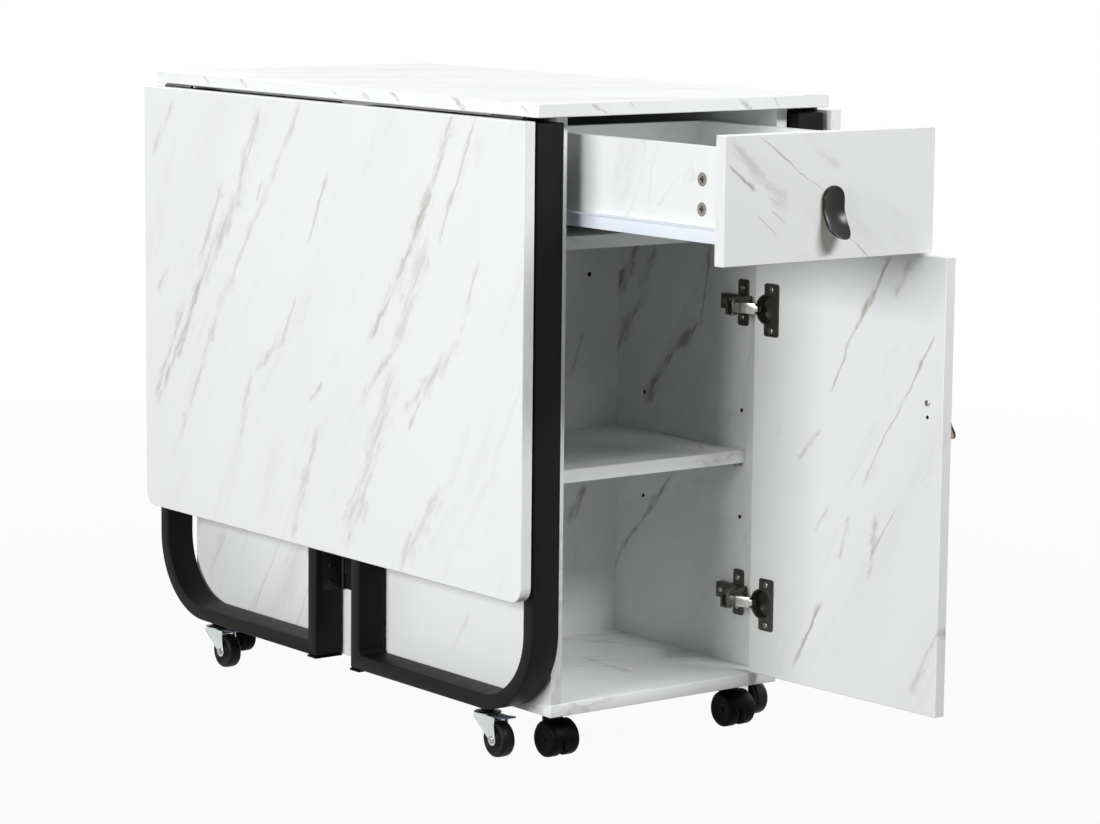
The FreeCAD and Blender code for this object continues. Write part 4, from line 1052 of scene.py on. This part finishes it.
class TABLE_OT_stage(bpy.types.Operator):
    """Pale floor, soft studio light and the camera"""
    bl_idname = "table.stage"
    bl_label = "Stage"

    def execute(self, context):
        scene = context.scene
        scene.view_settings.view_transform = "Standard"
        self.floor()
        self.world(scene)
        # Place, aim and size in metres, power in watts
        self.lamp("left softbox", (-4.1, -0.6, 1.4), (0, -0.3, 0.35), (2.4, 1.2), 167)
        self.lamp("front softbox", (0.6, -3.0, 2.5), (0, -0.5, 0.45), (1.8, 0.5), 90)
        self.lamp("top softbox", (0, -0.1, 3.4), (0, -0.1, 0.7), (1.6, 1.6), 17)
        self.lamp("right softbox", (4.2, 0.6, 1.6), (0, 0, 0.4), (2.6, 1.5), 125)
        self.lamp("rear softbox", (0.4, 4.0, 2.0), (0, 0, 0.4), (2.6, 1.5), 100)
        self.camera(scene)
        return {"FINISHED"}

    def sharp_rays(self, kit):
        """One for rays that show the stage itself: straight, mirrored or seen through."""
        path = kit.add("ShaderNodeLightPath").outputs
        mirrored = kit.maths("ADD", path["Is Camera Ray"], path["Is Glossy Ray"])
        return kit.maths("MINIMUM", kit.maths("ADD", mirrored, path["Is Transmission Ray"]), 1.0)

    def floor(self):
        deselect()
        bpy.ops.mesh.primitive_plane_add(size=120, location=(0, 0, 0))
        floor = settle("studio_floor")
        material, tree, shader = blank_material("studio floor")
        kit = Nodes(tree)
        shader.inputs["Base Color"].default_value = (0.1, 0.1, 0.1, 1)
        shader.inputs["Roughness"].default_value = 0.8
        glow = kit.add("ShaderNodeEmission", Color=(1, 1, 1, 1), Strength=1.0)
        # The floor shows the shadow near the table and turns plain white further off
        near, far, least = 0.9, 3.0, 0.95
        away = kit.add("ShaderNodeVectorMath", operation="LENGTH")
        kit.link(kit.add("ShaderNodeTexCoord").outputs["Object"], away.inputs[0])
        plain = kit.ramp(away.outputs["Value"], near, far, least, 1.0)
        mix = kit.add("ShaderNodeMixShader")
        kit.link(kit.product(self.sharp_rays(kit), plain), mix.inputs["Fac"])
        kit.link(shader.outputs["BSDF"], mix.inputs[1])
        kit.link(glow.outputs["Emission"], mix.inputs[2])
        kit.wire(mix, tree.nodes["Material Output"], Shader="Surface")
        floor.data.materials.append(material)

    def world(self, scene):
        world = bpy.data.worlds.new("studio")
        scene.world = world
        world.use_nodes = True
        tree = world.node_tree
        tree.nodes.clear()
        kit = Nodes(tree)
        light = kit.add("ShaderNodeBackground", Color=(1, 1, 1, 1))
        fill, shown = 0.04, 1.0
        kit.link(kit.ramp(self.sharp_rays(kit), 0.0, 1.0, fill, shown), light.inputs["Strength"])
        kit.wire(light, kit.add("ShaderNodeOutputWorld"), Background="Surface")

    def lamp(self, name, place, target, size, power):
        deselect()
        bpy.ops.object.light_add(type="AREA", location=place)
        lamp = named(name)
        lamp.data.shape = "RECTANGLE"
        lamp.data.size, lamp.data.size_y = size
        lamp.data.energy = power
        lamp.rotation_euler = (Vector(target) - Vector(place)).to_track_quat("-Z", "Y").to_euler()

    def camera(self, scene):
        place = Vector((-2.5653, -3.5033, 0.9829))
        yaw, pitch, roll = (math.radians(angle) for angle in (-37.408, -8.346, 0.589))
        turn = Matrix.Rotation(yaw, 4, "Z") @ Matrix.Rotation(math.pi / 2 + pitch, 4, "X")
        deselect()
        bpy.ops.object.camera_add(location=place)
        camera = named("photo camera")
        camera.matrix_world = Matrix.Translation(place) @ turn @ Matrix.Rotation(roll, 4, "Z")
        camera.data.sensor_fit = "HORIZONTAL"
        camera.data.sensor_width = 36
        camera.data.lens = 116.8
        camera.data.clip_end = 200
        scene.camera = camera


STEPS = (TABLE_OT_stage, TABLE_OT_boards, TABLE_OT_gates, TABLE_OT_gate_fittings, TABLE_OT_gate_casters,
         TABLE_OT_twin_casters, TABLE_OT_handles, TABLE_OT_door_hinges, TABLE_OT_drawer_fittings)


class TABLE_PT_panel(bpy.types.Panel):
    """Steps, sizes and colours of the table"""
    bl_idname = "TABLE_PT_panel"
    bl_label = "Drop-leaf table"
    bl_space_type = "VIEW_3D"
    bl_region_type = "UI"
    bl_category = "Table"

    def draw(self, context):
        for step in STEPS:
            self.layout.operator(step.bl_idname)
        for settings in (context.scene.table_sizes, context.scene.table_colours):
            for key in settings.__annotations__:
                self.layout.prop(settings, key)


CLASSES = (TableSizes, TableColours, *STEPS, TABLE_PT_panel)


def register():
    for item in CLASSES:
        bpy.utils.register_class(item)
    bpy.types.Scene.table_sizes = bpy.props.PointerProperty(type=TableSizes)
    bpy.types.Scene.table_colours = bpy.props.PointerProperty(type=TableColours)


def unregister():
    del bpy.types.Scene.table_colours
    del bpy.types.Scene.table_sizes
    for item in reversed(CLASSES):
        bpy.utils.unregister_class(item)


def main():
    register()
    for step in STEPS:
        group, name = step.bl_idname.split(".")
        getattr(getattr(bpy.ops, group), name)()
    deselect()


if __name__ == "__main__":
    main()
